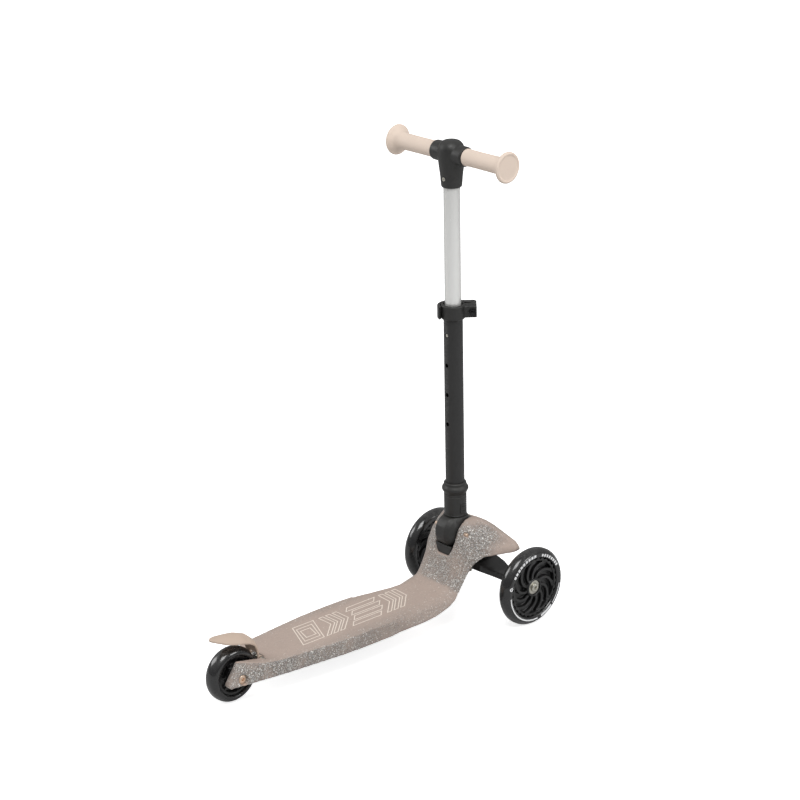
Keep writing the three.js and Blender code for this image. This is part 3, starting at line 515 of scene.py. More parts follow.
@dataclass(frozen=True)
class DrawnMetal(Finish):
    """Drawn or turned metal: fine lines along its length, slight tarnish and small scratches."""

    stretch: tuple[float, float, float] = (900.0, 900.0, 12.0)
    tarnish: float = 0.25
    metal: float = 1.0
    line_depth: float = 0.25

    def paint(self, book: NodeBook, shader: bpy.types.Node) -> None:
        """Paints the lines and the tarnish.

        Args:
            book: The material's nodes.
            shader: Its shader.
        """
        shader.inputs["Metallic"].default_value = self.metal
        stretched = book.add("Mapping", {"Vector": book.place(), "Scale": self.stretch}).outputs[0]
        lines = book.noise(1.0, 4.0, stretched)
        spots = book.ramp(book.noise(90.0, 6.0), 0.5, 0.8)
        dull = tuple(channel * 0.7 for channel in self.colour)
        colour = book.mix(book.math("MULTIPLY", spots, self.tarnish), self.colour, dull)
        colour = book.mix(book.math("MULTIPLY", lines, self.line_depth), colour, dull)
        book.feed(shader.inputs["Base Color"], colour)
        self.roughen(book, shader, book.math("SUBTRACT", lines, 0.5), self.line_depth)
        self.bump(book, shader, lines, self.line_depth / 2, 0.05 * MM)


@dataclass(frozen=True)
class CastUrethane(Finish):
    """Smoky cast polyurethane with a painted edge light: lighter where it is seen edge-on, standing for light
    through the clear tyre.
    """

    # Colour and share of the painted edge light, which stands for light through the clear urethane.
    edge: Colour = srgb(190, 192, 194)
    painted_edge_light_share: float = 0.55

    def paint(self, book: NodeBook, shader: bpy.types.Node) -> None:
        """Paints the smoke, the painted edge light where the tyre is seen edge-on, and the small bubbles and
        scuffs.

        Args:
            book: The material's nodes.
            shader: Its shader.
        """
        # Painted light: the tyre is lightened where it is seen edge-on, in place of light through the clear
        # urethane.
        edge_on = book.add("LayerWeight", {"Blend": 0.32}).outputs["Facing"]
        pale = book.math("MULTIPLY", book.ramp(edge_on, 0.55, 0.98), self.painted_edge_light_share)
        slow = effect_outputs(book, Effect.MOTTLE, Scale=60.0, Contrast=0.9)["Mask"]
        smoke = book.mix(slow, self.colour, tuple(channel * 1.9 + 0.004 for channel in self.colour))
        bubbles = effect_outputs(book, Effect.FLAKES, Scale=160.0, Density=0.05, Size=0.16)["Mask"]
        smoke = book.mix(book.math("MULTIPLY", bubbles, 0.35), smoke, srgb(150, 152, 156))
        settled = effect_outputs(book, Effect.DUST, Amount=0.1, Scale=120.0)["Mask"]
        smoke = book.mix(settled, smoke, srgb(170, 168, 164))
        book.feed(shader.inputs["Base Color"], book.mix(pale, smoke, self.edge))
        scuffs = book.ramp(book.noise(240.0, 6.0), 0.45, 0.75)
        self.roughen(book, shader, scuffs, 0.18)
        self.bump(book, shader, book.noise(420.0, 3.0), 0.08, 0.2 * MM)
        shader.inputs["Coat Weight"].default_value = 0.6
        shader.inputs["Coat Roughness"].default_value = 0.06


@dataclass(frozen=True)
class PrintedInk(Finish):
    """Screen-printed ink, a little broken where it has rubbed."""

    def paint(self, book: NodeBook, shader: bpy.types.Node) -> None:
        """Paints the ink with its rubbed patches.

        Args:
            book: The material's nodes.
            shader: Its shader.
        """
        patches = book.ramp(book.noise(700.0, 5.0), 0.5, 0.75)
        rubbed = tuple(channel * 0.72 for channel in self.colour)
        thin = book.math("MULTIPLY", patches, 0.5)
        book.feed(shader.inputs["Base Color"], book.mix(thin, self.colour, rubbed))
        self.roughen(book, shader, patches, 0.15)
        self.bump(book, shader, book.noise(1800.0, 2.0), 0.1, 0.05 * MM)


@dataclass(frozen=True)
class Backdrop(Finish):
    """A pale, evenly lit studio floor that throws back less light than it shows."""

    glow: float = 0.74
    bounce: Colour = (0.62, 0.62, 0.62)

    def paint(self, book: NodeBook, shader: bpy.types.Node) -> None:
        """Lifts the floor a little above what the lights give it, for a direct look only.

        Args:
            book: The material's nodes.
            shader: Its shader.
        """
        direct = book.add("LightPath").outputs["Is Camera Ray"]
        far = book.ramp(book.math("ABSOLUTE", book.parts(book.place())["Y"]), 0.5, 4.0)
        lift = book.math("MULTIPLY", direct, book.math("MULTIPLY_ADD", far, 0.6, self.glow))
        shader.inputs["Emission Color"].default_value = (1, 1, 1, 1)
        book.feed(shader.inputs["Emission Strength"], lift)
        book.feed(shader.inputs["Base Color"], book.mix(direct, self.bounce, self.colour))


DECK_BEIGE = GlitterPlastic("beige_glitter_plastic", "deck_plastic", srgb(186, 168, 157), 0.6)
CREAM_PLASTIC = MouldedPlastic(
    "cream_plastic", "cream_plastic", srgb(203, 182, 165), 0.5, grain_scale=1200.0, grain_strength=0.12,
    mottle=0.25, dust=0.0)
CREAM_RUBBER = MouldedPlastic(
    "cream_rubber", "grip_rubber", srgb(228, 210, 195), 0.62, grain_scale=1800.0, grain_strength=0.3,
    mottle=0.25, wear=0.2, dust=0.04)
SATIN_BLACK = MouldedPlastic("satin_black_plastic", "black_plastic", srgb(39, 39, 38), 0.42, dust=0.04)
GLOSS_BLACK = MouldedPlastic(
    "gloss_black_plastic", "gloss_black_plastic", srgb(11, 11, 12), 0.32, grain_strength=0.05, coat=0.3,
    dust=0.02)
# Both tyres carry a painted edge light; the rear one has less of it.
SMOKY_TYRE = CastUrethane("smoky_urethane", "tyre_polyurethane", srgb(15, 15, 16), 0.16)
REAR_TYRE = CastUrethane("dark_urethane", "tyre_polyurethane", srgb(17, 17, 18), 0.2, painted_edge_light_share=0.2)
POWDER_BLACK = MouldedPlastic(
    "black_powder_coat", "black_tube", srgb(37, 37, 37), 0.4, grain_scale=2600.0,
    grain_strength=0.35, dust=0.05)
SATIN_SILVER = DrawnMetal(
    "satin_aluminium", "satin_aluminium", srgb(240, 240, 238), 0.26, tarnish=0.03, metal=0.5, line_depth=0.06)
BRONZE = DrawnMetal("bronze_plating", "bronze_pin", srgb(243, 218, 196), 0.42, stretch=(12.0, 900.0, 900.0))
ZINC = DrawnMetal("zinc_steel", "zinc_steel", srgb(205, 202, 192), 0.28, stretch=(300.0, 900.0, 900.0))
BLACK_ZINC = DrawnMetal("black_zinc", "zinc_steel", srgb(58, 58, 60), 0.35, stretch=(300.0, 900.0, 900.0))
SPRING_WIRE = DrawnMetal(
    "spring_wire", "spring_steel", srgb(168, 168, 168), 0.35, stretch=(500.0, 500.0, 500.0))
CREAM_INK = PrintedInk("cream_ink", "cream_plastic", srgb(236, 224, 212), 0.55)
WHITE_INK = PrintedInk("white_ink", "cream_plastic", srgb(238, 239, 240), 0.45)
FLOOR_WHITE = Backdrop("studio_floor", "", (0.9, 0.9, 0.9), 0.9)


# ---- mesh helpers ------------------------------------------------------------------------------


def stem_axes() -> Matrix:
    """Works out the stem's own axes, with its foot on the ground and +Z up along its leaning tube.

    Returns:
        The axes as a matrix.
    """
    slide = next(joint for joint in frame["joints"] if joint["name"] == "height_slide")
    up = Vector(slide["axis"]).normalized()
    low, high = (Vector(corner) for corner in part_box("outer_tube"))
    middle = (low + high) / 2
    foot = middle - up * (middle.z / up.z)
    across = Vector((1, 0, 0))
    turn = Matrix((across, up.cross(across), up)).transposed().to_4x4()
    return Matrix.Translation(foot) @ turn


def node_middle(name: str) -> Vector:
    """Gives the middle of a node's box."""
    low, high = (Vector(corner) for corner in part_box(name))
    return (low + high) / 2


def object_from(name: str, bm: bmesh.types.BMesh, smooth_angle: float = 32.0) -> bpy.types.Object:
    """Makes an object from a bmesh, smooth except across edges sharper than an angle.

    Args:
        name: The piece's name.
        bm: The finished mesh, which is freed.
        smooth_angle: The sharpest edge that stays smooth, in degrees.

    Returns:
        The linked object.
    """
    bmesh.ops.recalc_face_normals(bm, faces=bm.faces)
    limit = math.radians(smooth_angle)
    for face in bm.faces:
        face.smooth = True
    for edge in bm.edges:
        edge.smooth = len(edge.link_faces) == 2 and edge.calc_face_angle() < limit
    mesh = bpy.data.meshes.new(name)
    bm.to_mesh(mesh)
    bm.free()
    made = bpy.data.objects.new(name, mesh)
    bpy.context.scene.collection.objects.link(made)
    return made


def settle(made: bpy.types.Object, smooth_angle: float = 32.0) -> bpy.types.Object:
    """Applies an object's modifiers and shades the result.

    Args:
        made: The object.
        smooth_angle: The sharpest edge that stays smooth, in degrees.

    Returns:
        A new object of the same name.
    """
    bpy.context.view_layer.update()
    graph = bpy.context.evaluated_depsgraph_get()
    bm = bmesh.new()
    bm.from_mesh(made.evaluated_get(graph).data)
    bm.transform(made.matrix_world)
    name = made.name
    bpy.data.objects.remove(made)
    return object_from(name, bm, smooth_angle)


def lathe(name: str, profile: Profile, axes: Matrix, segments: int = 96) -> bpy.types.Object:
    """Turns a closed (radius, height) profile about the local Z of some axes.

    Args:
        name: The piece's name.
        profile: Radius and height in millimetres; it starts and ends on the axis or closes on itself.
        axes: Where the local axes lie.
        segments: Steps round the turn.

    Returns:
        The turned piece.
    """
    bm = bmesh.new()
    rings: list[list[bmesh.types.BMVert]] = []
    closed = profile[0] == profile[-1]
    points = profile[:-1] if closed else profile
    for radius, height in points:
        count = 1 if radius == 0 else segments
        ring = []
        for step in range(count):
            angle = 2 * math.pi * step / segments
            spot = Vector((radius * math.cos(angle), radius * math.sin(angle), height)) * MM
            ring.append(bm.verts.new(spot))
        rings.append(ring)
    pairs = list(zip(rings, rings[1:]))
    if closed:
        pairs.append((rings[-1], rings[0]))
    for lower, upper in pairs:
        for step in range(segments):
            corners = [lower[step % len(lower)], lower[(step + 1) % len(lower)],
                       upper[(step + 1) % len(upper)], upper[step % len(upper)]]
            unique = list(dict.fromkeys(corners))
            if len(unique) > 2:
                bm.faces.new(unique)
    bm.transform(axes)
    return object_from(name, bm)


def rounded_profile(corners: Sequence[Corner], steps: int = 5) -> list[Point]:
    """Rounds the corners of a profile.

    Args:
        corners: Radius, height and corner rounding, in millimetres, in order.
        steps: Points on each rounded corner.

    Returns:
        The rounded profile, open at its ends.
    """
    points: list[Point] = []
    for index, (radius, height, rounding) in enumerate(corners):
        here = Vector((radius, height))
        if rounding == 0 or index in (0, len(corners) - 1):
            points.append((radius, height))
            continue
        before = Vector(corners[index - 1][:2]) - here
        after = Vector(corners[index + 1][:2]) - here
        start = here + before.normalized() * min(rounding, before.length * 0.49)
        end = here + after.normalized() * min(rounding, after.length * 0.49)
        for step in range(steps + 1):
            t = step / steps
            spot = start * (1 - t) ** 2 + here * 2 * t * (1 - t) + end * t ** 2
            points.append((spot.x, spot.y))
    return points


def prism(name: str, outline: Profile, low: float, high: float, axes: Matrix) -> bpy.types.Object:
    """Extrudes a closed outline along the local Z of some axes.

    Args:
        name: The piece's name.
        outline: Local X and Y in millimetres.
        low: Height of one end in millimetres.
        high: Height of the other end in millimetres.
        axes: Where the local axes lie.

    Returns:
        The extruded piece.
    """
    bm = bmesh.new()
    ends = [[bm.verts.new(Vector((x, y, z)) * MM) for x, y in outline] for z in (low, high)]
    for ring in ends:
        bm.faces.new(ring)
    for step in range(len(outline)):
        after = (step + 1) % len(outline)
        bm.faces.new([ends[0][step], ends[0][after], ends[1][after], ends[1][step]])
    bm.transform(axes)
    return object_from(name, bm)


def carve(piece: bpy.types.Object, tools: Sequence[bpy.types.Object]) -> bpy.types.Object:
    """Cuts other objects out of a piece, and removes them.

    Args:
        piece: The piece to change.
        tools: The objects to cut out.

    Returns:
        The changed piece.
    """
    for tool in tools:
        modifier = piece.modifiers.new("carve", "BOOLEAN")
        modifier.operation = "DIFFERENCE"
        modifier.solver = "EXACT"
        modifier.object = tool
    changed = settle(piece)
    for tool in tools:
        bpy.data.objects.remove(tool)
    return changed


def bevelled(piece: bpy.types.Object, width: float, angle: float = 32.0) -> bpy.types.Object:
    """Rounds a piece's sharp edges.

    Args:
        piece: The piece.
        width: The rounding in millimetres.
        angle: Edges sharper than this are rounded, in degrees.

    Returns:
        The rounded piece.
    """
    modifier = piece.modifiers.new("round_edges", "BEVEL")
    modifier.width = width * MM
    modifier.segments = 3
    modifier.limit_method = "ANGLE"
    modifier.angle_limit = math.radians(angle)
    return settle(piece, 40.0)


def fused(piece: bpy.types.Object, voxel: float, rounds: int) -> bpy.types.Object:
    """Remeshes a piece into one even skin and relaxes it, which rounds its edges and blends its joins.

    Args:
        piece: The piece, whose solids may overlap.
        voxel: The skin's grid in millimetres.
        rounds: How many times the skin is relaxed.

    Returns:
        The new piece.
    """
    skin = piece.modifiers.new("skin", "REMESH")
    skin.mode = "VOXEL"
    skin.voxel_size = voxel * MM
    relax = piece.modifiers.new("relax", "SMOOTH")
    relax.factor = 0.5
    relax.iterations = rounds
    return settle(piece, 60.0)


def cad_copy(node: str, name: str) -> bpy.types.Object:
    """Copies a node's shape into a new object with its loose corners welded.

    Args:
        node: The node's name.
        name: The new object's name.

    Returns:
        The new object.
    """
    bm = bmesh.new()
    bm.from_mesh(frame["nodes"][node].data)
    bmesh.ops.remove_doubles(bm, verts=bm.verts, dist=0.02 * MM)
    return object_from(name, bm)


def joined(name: str, pieces: Sequence[bpy.types.Object]) -> bpy.types.Object:
    """Puts several pieces into one object.

    Args:
        name: The new object's name.
        pieces: The pieces, which are removed.

    Returns:
        The joined object.
    """
    bm = bmesh.new()
    for piece in pieces:
        bm.from_mesh(piece.data)
        bpy.data.objects.remove(piece)
    return object_from(name, bm)


def dress(piece: bpy.types.Object, finish: Finish, body: str, *nodes: str) -> bpy.types.Object:
    """Gives a piece its finish and body, and hides the nodes that it replaces.

    Args:
        piece: The piece.
        finish: Its finish.
        body: The body that it moves with.
        *nodes: The nodes that it replaces.

    Returns:
        The same piece.
    """
    piece.data.materials.clear()
    piece.data.materials.append(finish.material())
    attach(piece, body)
    if nodes:
        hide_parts(*nodes)
    LOG.info("%s: %d faces in %s", piece.name, len(piece.data.polygons), finish.name)
    return piece


def smooth_shading() -> bpy.types.NodeTree:
    """Gives the modifier nodes that shade a mesh smooth except across its sharp edges, made once.

    Returns:
        The geometry node group.
    """
    known = bpy.data.node_groups.get("smooth_shading")
    if known:
        return known
    tree = bpy.data.node_groups.new("smooth_shading", "GeometryNodeTree")
    for way in ("INPUT", "OUTPUT"):
        tree.interface.new_socket("Geometry", in_out=way, socket_type="NodeSocketGeometry")
    start, end = tree.nodes.new("NodeGroupInput"), tree.nodes.new("NodeGroupOutput")
    faces, edges = (tree.nodes.new("GeometryNodeSetShadeSmooth") for _ in range(2))
    faces.domain, edges.domain = "FACE", "EDGE"
    edges.inputs["Shade Smooth"].default_value = False
    angle = tree.nodes.new("GeometryNodeInputMeshEdgeAngle")
    sharp = tree.nodes.new("FunctionNodeCompare")
    sharp.operation = "GREATER_THAN"
    sharp.inputs["B"].default_value = math.radians(34)
    tree.links.new(angle.outputs["Unsigned Angle"], sharp.inputs["A"])
    tree.links.new(sharp.outputs["Result"], edges.inputs["Selection"])
    tree.links.new(start.outputs[0], faces.inputs["Geometry"])
    tree.links.new(faces.outputs[0], edges.inputs["Geometry"])
    tree.links.new(edges.outputs[0], end.inputs[0])
    return tree


def dress_node(node: str, finish: Finish, rounding: float = 0.25) -> None:
    """Gives a node that keeps its shape a finish and small rounded edges.

    Args:
        node: The node's name.
        finish: Its finish.
        rounding: Edge rounding in millimetres.
    """
    shown = frame["nodes"][node]
    shown.data.materials.clear()
    shown.data.materials.append(finish.material())
    weld = shown.modifiers.new("weld", "WELD")
    weld.merge_threshold = 0.02 * MM
    edges = shown.modifiers.new("round_edges", "BEVEL")
    edges.width = rounding * MM
    edges.segments = 2
    edges.limit_method = "ANGLE"
    edges.angle_limit = math.radians(32)
    shade = shown.modifiers.new("shade_smooth", "NODES")
    shade.node_group = smooth_shading()
    LOG.info("%s keeps its shape, in %s", node, finish.name)


def strip(bm: bmesh.types.BMesh, line: Sequence[Vector], width: float, closed: bool,
          step: float = 3.0) -> None:
    """Adds a flat printed line to a mesh, with mitred corners.

    Args:
        bm: The mesh to add to.
        line: The line's middle, in local X and Y millimetres.
        width: Its width in millimetres.
        closed: Whether it closes on itself.
        step: The longest stretch between two rungs, in millimetres.
    """
    count = len(line)
    rungs: list[tuple[Vector, Vector]] = []
    for index, here in enumerate(line):
        before = line[index - 1] if closed or index else None
        after = line[(index + 1) % count] if closed or index + 1 < count else None
        ahead = ((after or here * 2 - before) - here).normalized()
        behind = (here - (before or here * 2 - after)).normalized()
        bisector = (Vector((-ahead.y, ahead.x)) + Vector((-behind.y, behind.x))).normalized()
        reach = width / 2 / max(bisector.dot(Vector((-ahead.y, ahead.x))), 0.4)
        rungs.append((here + bisector * reach, here - bisector * reach))
    spans = list(zip(rungs, rungs[1:] + rungs[:1] if closed else rungs[1:]))
    for (left_a, right_a), (left_b, right_b) in spans:
        pieces = max(1, math.ceil((left_b - left_a).length / step))
        for part in range(pieces):
            ends = [part / pieces, (part + 1) / pieces]
            corners = [left_a.lerp(left_b, ends[0]), right_a.lerp(right_b, ends[0]),
                       right_a.lerp(right_b, ends[1]), left_a.lerp(left_b, ends[1])]
            bm.faces.new([bm.verts.new((spot.x * MM, spot.y * MM, 0)) for spot in corners])


# ---- sub-assemblies ----------------------------------------------------------------------------


@dataclass
class Deck:
    """The moulded deck with its neck and wings, its underside, its printed pattern and its pins."""

    skin: float = 1.5
    relax_rounds: int = 14
    line_width: float = 1.5
    ink_lift: float = 0.14
    print_rear: float = 148.0
    print_front: float = -62.0
    print_half: float = 26.0
    slant: float = 0.55
    pattern_length: float = 196.0
    frame_insets: tuple[float, ...] = (0.0, 0.3, 0.6)
    frame_length: float = 36.0
    frame_step: float = 16.0
    frame_skew: float = 5.0
    chevron_pitch: float = 12.0
    chevron_depth: float = 7.0
    chevrons: int = 3
    bar_start: float = 92.0
    bar_stagger: float = 6.0
    bar_length: float = 50.0
    bar_width: float = 0.38
    bar_pitch: float = 0.54
    bar_skew: float = 4.0
    bars: int = 4
    shell: bpy.types.Object = field(init=False)
    printed: bpy.types.Object = field(init=False)

    def build(self) -> None:
        """Builds the shell and the printed pattern."""
        self.shell = fused(cad_copy("deck_body", "deck_shell"), self.skin, self.relax_rounds)
        self.printed = self.make_print()

    def chevron_row(self, first: float, rise: float) -> list[list[Point]]:
        """Lays out a row of chevrons that point forwards.

        Args:
            first: Where the first one starts, along from the rear.
            rise: How far each point stands ahead of its ends.

        Returns:
            Their closed outlines.
        """
        depth = self.chevron_depth
        starts = [first + self.chevron_pitch * number for number in range(self.chevrons)]
        return [[(-1, start), (0, start + rise), (1, start), (1, start + depth), (0, start + depth + rise),
                 (-1, start + depth)] for start in starts]

    def pattern(self) -> list[list[Point]]:
        """Lays out the printed outlines: nested frames, chevrons, bars and chevrons again.

        Returns:
            Closed outlines in deck units: across from -1 to 1, and along in millimetres from the rear.
        """
        outlines: list[list[Point]] = []
        for inset in self.frame_insets:
            near, far = -1 + inset, 1 - inset
            start, end = inset * self.frame_step, self.frame_length - inset * self.frame_step
            outlines.append([(near, start + self.frame_skew), (far, start), (far, end),
                             (near, end + self.frame_skew)])
        outlines += self.chevron_row(46.0, 14.0)
        for number in range(self.bars):
            near = -1 + self.bar_pitch * number
            far = near + self.bar_width
            inner = 0 < number < self.bars - 1
            start = self.bar_start + (self.bar_stagger if inner else 0)
            end = start + self.bar_length
            outlines.append([(near, start), (far, start + self.bar_skew), (far, end + self.bar_skew),
                             (near, end)])
        return outlines + self.chevron_row(154.0, 12.0)

    def make_print(self) -> bpy.types.Object:
        """Makes the printed outlines and lays them on the shell.

        Returns:
            The printed piece.
        """
        bm = bmesh.new()
        stretch = (self.print_rear - self.print_front) / self.pattern_length
        for outline in self.pattern():
            line = []
            for across, along in outline:
                x = across * self.print_half
                y = self.print_rear - along * stretch - (x + self.print_half) * self.slant
                line.append(Vector((x, y)))
            strip(bm, line, self.line_width, True)
        bmesh.ops.remove_doubles(bm, verts=bm.verts, dist=0.05 * MM)
        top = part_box("deck_body")[1][2]
        for vert in bm.verts:
            hit, spot, _, _ = self.shell.ray_cast((vert.co.x, vert.co.y, top), (0, 0, -1))
            vert.co.z = spot.z + self.ink_lift * MM if hit else top
        printed = object_from("deck_print", bm)
        thicken = printed.modifiers.new("ink", "SOLIDIFY")
        thicken.thickness = 0.12 * MM
        thicken.offset = 0
        return settle(printed)

    def dress(self) -> None:
        """Finishes the deck and the small pieces fixed to it."""
        dress(self.shell, DECK_BEIGE, "deck", "deck_body")
        dress(self.printed, CREAM_INK, "deck")
        cradle = fused(cad_copy("hinge_cradle", "cradle_block"), 0.6, 3)
        dress(cradle, SATIN_BLACK, "deck", "hinge_cradle")
        dress_node("underside_cover", SATIN_BLACK)
        for number in range(1, 5):
            dress_node(f"cover_screw_{number}", ZINC, 0.15)
        dress_node("fold_pin", BRONZE)
        for node in ("kingpin_stud", "kingpin_washer", "kingpin_nut", "brake_pin"):
            dress_node(node, ZINC)
        dress_node("steering_spring", SPRING_WIRE, 0.05)


@dataclass
class SteeringBridge:
    """The black bridge that carries the front axles, with its bushes, spacers and bolts."""

    bridge: bpy.types.Object = field(init=False)

    def build(self) -> None:
        """Builds the moulded bridge."""
        self.bridge = fused(cad_copy("axle_bridge", "bridge_moulding"), 0.9, 6)

    def dress(self) -> None:
        """Finishes the bridge and its fittings."""
        dress(self.bridge, GLOSS_BLACK, "steering_bridge", "axle_bridge")
        for end in ("upper", "lower"):
            dress_node(f"kingpin_bush_{end}", SATIN_BLACK, 0.2)
        for side in ("left", "right"):
            dress_node(f"front_spacer_{side}", ZINC, 0.2)
            dress_node(f"front_axle_bolt_{side}", ZINC, 0.2)


class Side(Enum):
    """Which front wheel, with the direction of its outer face along X."""

    LEFT = 1
    RIGHT = -1

    @property
    def word(self) -> str:
        """The side's name in node names."""
        return self.name.lower()


@dataclass(frozen=True)
class PrintedArc:
    """A printed arc on a tyre's face: its middle radius and width, and its angles in degrees."""

    radius: float
    width: float
    start: float
    end: float


@dataclass(frozen=True)
class BlockRow:
    """A row of equal printed blocks round a tyre's face, given by its first block, its pitch and count."""

    radius: float
    width: float
    start: float
    end: float
    pitch: float
    count: int

    def blocks(self) -> list[PrintedArc]:
        """Lists its blocks as short arcs."""
        turns = [self.pitch * block for block in range(self.count)]
        return [PrintedArc(self.radius, self.width, self.start - turn, self.end - turn) for turn in turns]


@dataclass
class FrontWheel:
    """A large front wheel: clear tyre, black core with swirling spokes, and white printed marks."""

    side: Side
    radius: float = 60.0
    half_width: float = 10.9
    seat: float = 46.3
    rim_inner: float = 41.5
    rim_outer: float = 44.0
    lug_reach: float = 46.0
    lugs: int = 30
    hub: float = 14.5
    spokes: int = 11
    spoke_half: float = 6.5
    sweep: float = 0.8
    rim_half: float = 8.6
    hub_half: float = 9.4
    hub_bore: float = 11.3
    web_inner: float = 7.0
    web_half: float = 0.5
    spoke_slim: float = 1.9
    spoke_swell: float = 0.5
    spoke_curl: float = 0.95
    arcs: tuple[PrintedArc, ...] = (
        PrintedArc(51.0, 2.1, 184, 276), PrintedArc(50.8, 3.6, 285, 312), PrintedArc(50.8, 1.5, 316, 352))
    block_rows: tuple[BlockRow, ...] = (
        BlockRow(50.8, 4.4, 149, 144.2, 6.8, 9), BlockRow(50.5, 4.0, 76, 72, 6.2, 8))
    ring_place: Point = (-50.2, 11.6)
    ring_radius: float = 2.2
    ring_line: float = 1.7
    ring_points: int = 16
    ink_lift: float = 0.14
    tyre: bpy.types.Object = field(init=False)
    core: bpy.types.Object = field(init=False)
    marks: bpy.types.Object = field(init=False)

    def axes(self) -> Matrix:
        """Works out the wheel's axes: local Z points outwards, X to the front and Y up or down.

        Returns:
            The axes as a matrix.
        """
        middle = node_middle(f"front_tyre_{self.side.word}")
        outward = Vector((self.side.value, 0, 0))
        forward = Vector((0, -1, 0))
        turn = Matrix((forward, outward.cross(forward), outward)).transposed().to_4x4()
        return Matrix.Translation(middle) @ turn

    def build(self) -> None:
        """Builds the tyre, the core and the printed marks."""
        half = self.half_width
        corners = [
            (self.seat, -half + 3, 0), (self.seat + 1.4, -half + 0.5, 1), (self.seat + 6.5, -half, 2),
            (self.radius - 5, -half + 0.7, 4), (self.radius - 0.6, -half + 6, 5), (self.radius, 0, 2),
            (self.radius - 0.6, half - 6, 5), (self.radius - 5, half - 0.7, 4), (self.seat + 6.5, half, 2),
            (self.seat + 1.4, half - 0.5, 1), (self.seat, half - 3, 0)]
        profile = rounded_profile(corners)
        self.tyre = lathe(f"tyre_{self.side.word}", [*profile, profile[0]], self.axes(), 128)
        self.core = self.make_core()
        self.marks = self.make_marks()

    def make_rim(self, axes: Matrix) -> bpy.types.Object:
        """Makes the core's rim, with lugs round it that grip the tyre.

        Args:
            axes: The wheel's axes.

        Returns:
            The rim.
        """
        outline = []
        for lug in range(self.lugs):
            for share, radius in ((0.02, self.rim_outer), (0.42, self.rim_outer), (0.52, self.lug_reach),
                                  (0.92, self.lug_reach)):
                angle = 2 * math.pi * (lug + share) / self.lugs
                outline.append((radius * math.cos(angle), radius * math.sin(angle)))
        rim = prism("rim", outline, -self.rim_half, self.rim_half, axes)
        bore = lathe("bore", [(0, -12), (self.rim_inner, -12), (self.rim_inner, 12), (0, 12)], axes)
        return carve(rim, [bore])

    def make_hub(self, axes: Matrix) -> bpy.types.Object:
        """Makes the core's hub, with eased ends.

        Args:
            axes: The wheel's axes.

        Returns:
            The hub.
        """
        inside, outside, half = self.hub_bore, self.hub, self.hub_half
        hub_line = rounded_profile([
            (inside, -half, 0), (outside - 1, -half, 0.6), (outside, -half + 1, 0.6),
            (outside, half - 1, 0.6), (outside - 1, half, 0.6), (inside, half, 0)])
        return lathe("hub", [*hub_line, (inside, -half)], axes, 64)

    def make_core(self) -> bpy.types.Object:
        """Makes the core: toothed rim, hub, thin web and curved spokes.

        Returns:
            The core.
        """
        axes = self.axes()
        rim, hub = self.make_rim(axes), self.make_hub(axes)
        start, reach, thin = self.web_inner, self.rim_inner + 1, self.web_half
        disc = [(start, -thin), (reach, -thin), (reach, thin), (start, thin), (start, -thin)]
        web = lathe("web", disc, axes)
        blades = [self.make_spoke(axes, 2 * math.pi * number / self.spokes) for number in range(self.spokes)]
        core = joined(f"core_{self.side.word}", [rim, hub, web, *blades])
        return fused(core, 0.65, 3)

    def make_spoke(self, axes: Matrix, start: float) -> bpy.types.Object:
        """Makes one spoke that curves the way the wheel rolls.

        Args:
            axes: The wheel's axes.
            start: Its angle at the hub.

        Returns:
            The spoke.
        """
        steps = 12
        left: list[Point] = []
        right: list[Point] = []
        for step in range(steps + 1):
            share = step / steps
            radius = self.hub - 1 + (self.rim_inner + 1.5 - self.hub) * share
            angle = start - self.sweep * share ** 1.6
            heading = angle - self.spoke_curl * share
            half = self.spoke_slim + self.spoke_swell * share
            middle = Vector((radius * math.cos(angle), radius * math.sin(angle)))
            across = Vector((-math.sin(heading), math.cos(heading))) * half
            left.append(tuple(middle + across))
            right.append(tuple(middle - across))
        return prism("spoke", [*right, *reversed(left)], -self.spoke_half, self.spoke_half, axes)

    def make_marks(self) -> bpy.types.Object:
        """Makes the printed arcs, blocks and ring on the tyre's outer face.

        Returns:
            The printed marks.
        """
        bm = bmesh.new()
        flip = self.side.value
        arcs = [*self.arcs, *(block for row in self.block_rows for block in row.blocks())]
        for arc in arcs:
            steps = max(3, math.ceil(abs(arc.end - arc.start) / 3))
            line = []
            for step in range(steps + 1):
                angle = math.radians(arc.start + (arc.end - arc.start) * step / steps)
                line.append(Vector((arc.radius * math.cos(angle), -flip * arc.radius * math.sin(angle))))
            strip(bm, line, arc.width, False, 50)
        ahead, above = self.ring_place
        angles = [2 * math.pi * turn / self.ring_points for turn in range(self.ring_points)]
        ring = [Vector((ahead + self.ring_radius * math.cos(angle),
                        self.ring_radius * math.sin(angle) - above * flip)) for angle in angles]
        strip(bm, ring, self.ring_line, True)
        bmesh.ops.remove_doubles(bm, verts=bm.verts, dist=0.03 * MM)
        local = self.axes()
        inverse = local.inverted()
        for vert in bm.verts:
            start = local @ Vector((vert.co.x, vert.co.y, 30 * MM))
            hit, spot, _, _ = self.tyre.ray_cast(start, -Vector((flip, 0, 0)))
            vert.co.z = (inverse @ spot).z + self.ink_lift * MM if hit else self.half_width * MM
        bm.transform(local)
        marks = object_from(f"tyre_marks_{self.side.word}", bm)
        thicken = marks.modifiers.new("ink", "SOLIDIFY")
        thicken.thickness = 0.1 * MM
        thicken.offset = 0
        return settle(marks)

    def dress(self) -> None:
        """Finishes the wheel and its bearings."""
        word = self.side.word
        body = f"front_wheel_{word}"
        dress(self.tyre, SMOKY_TYRE, body, f"front_tyre_{word}")
        dress(self.core, GLOSS_BLACK, body, f"front_core_{word}")
        dress(self.marks, WHITE_INK, body)
        for place in ("outer", "inner"):
            dress_node(f"front_bearing_{place}_{word}", ZINC, 0.3)


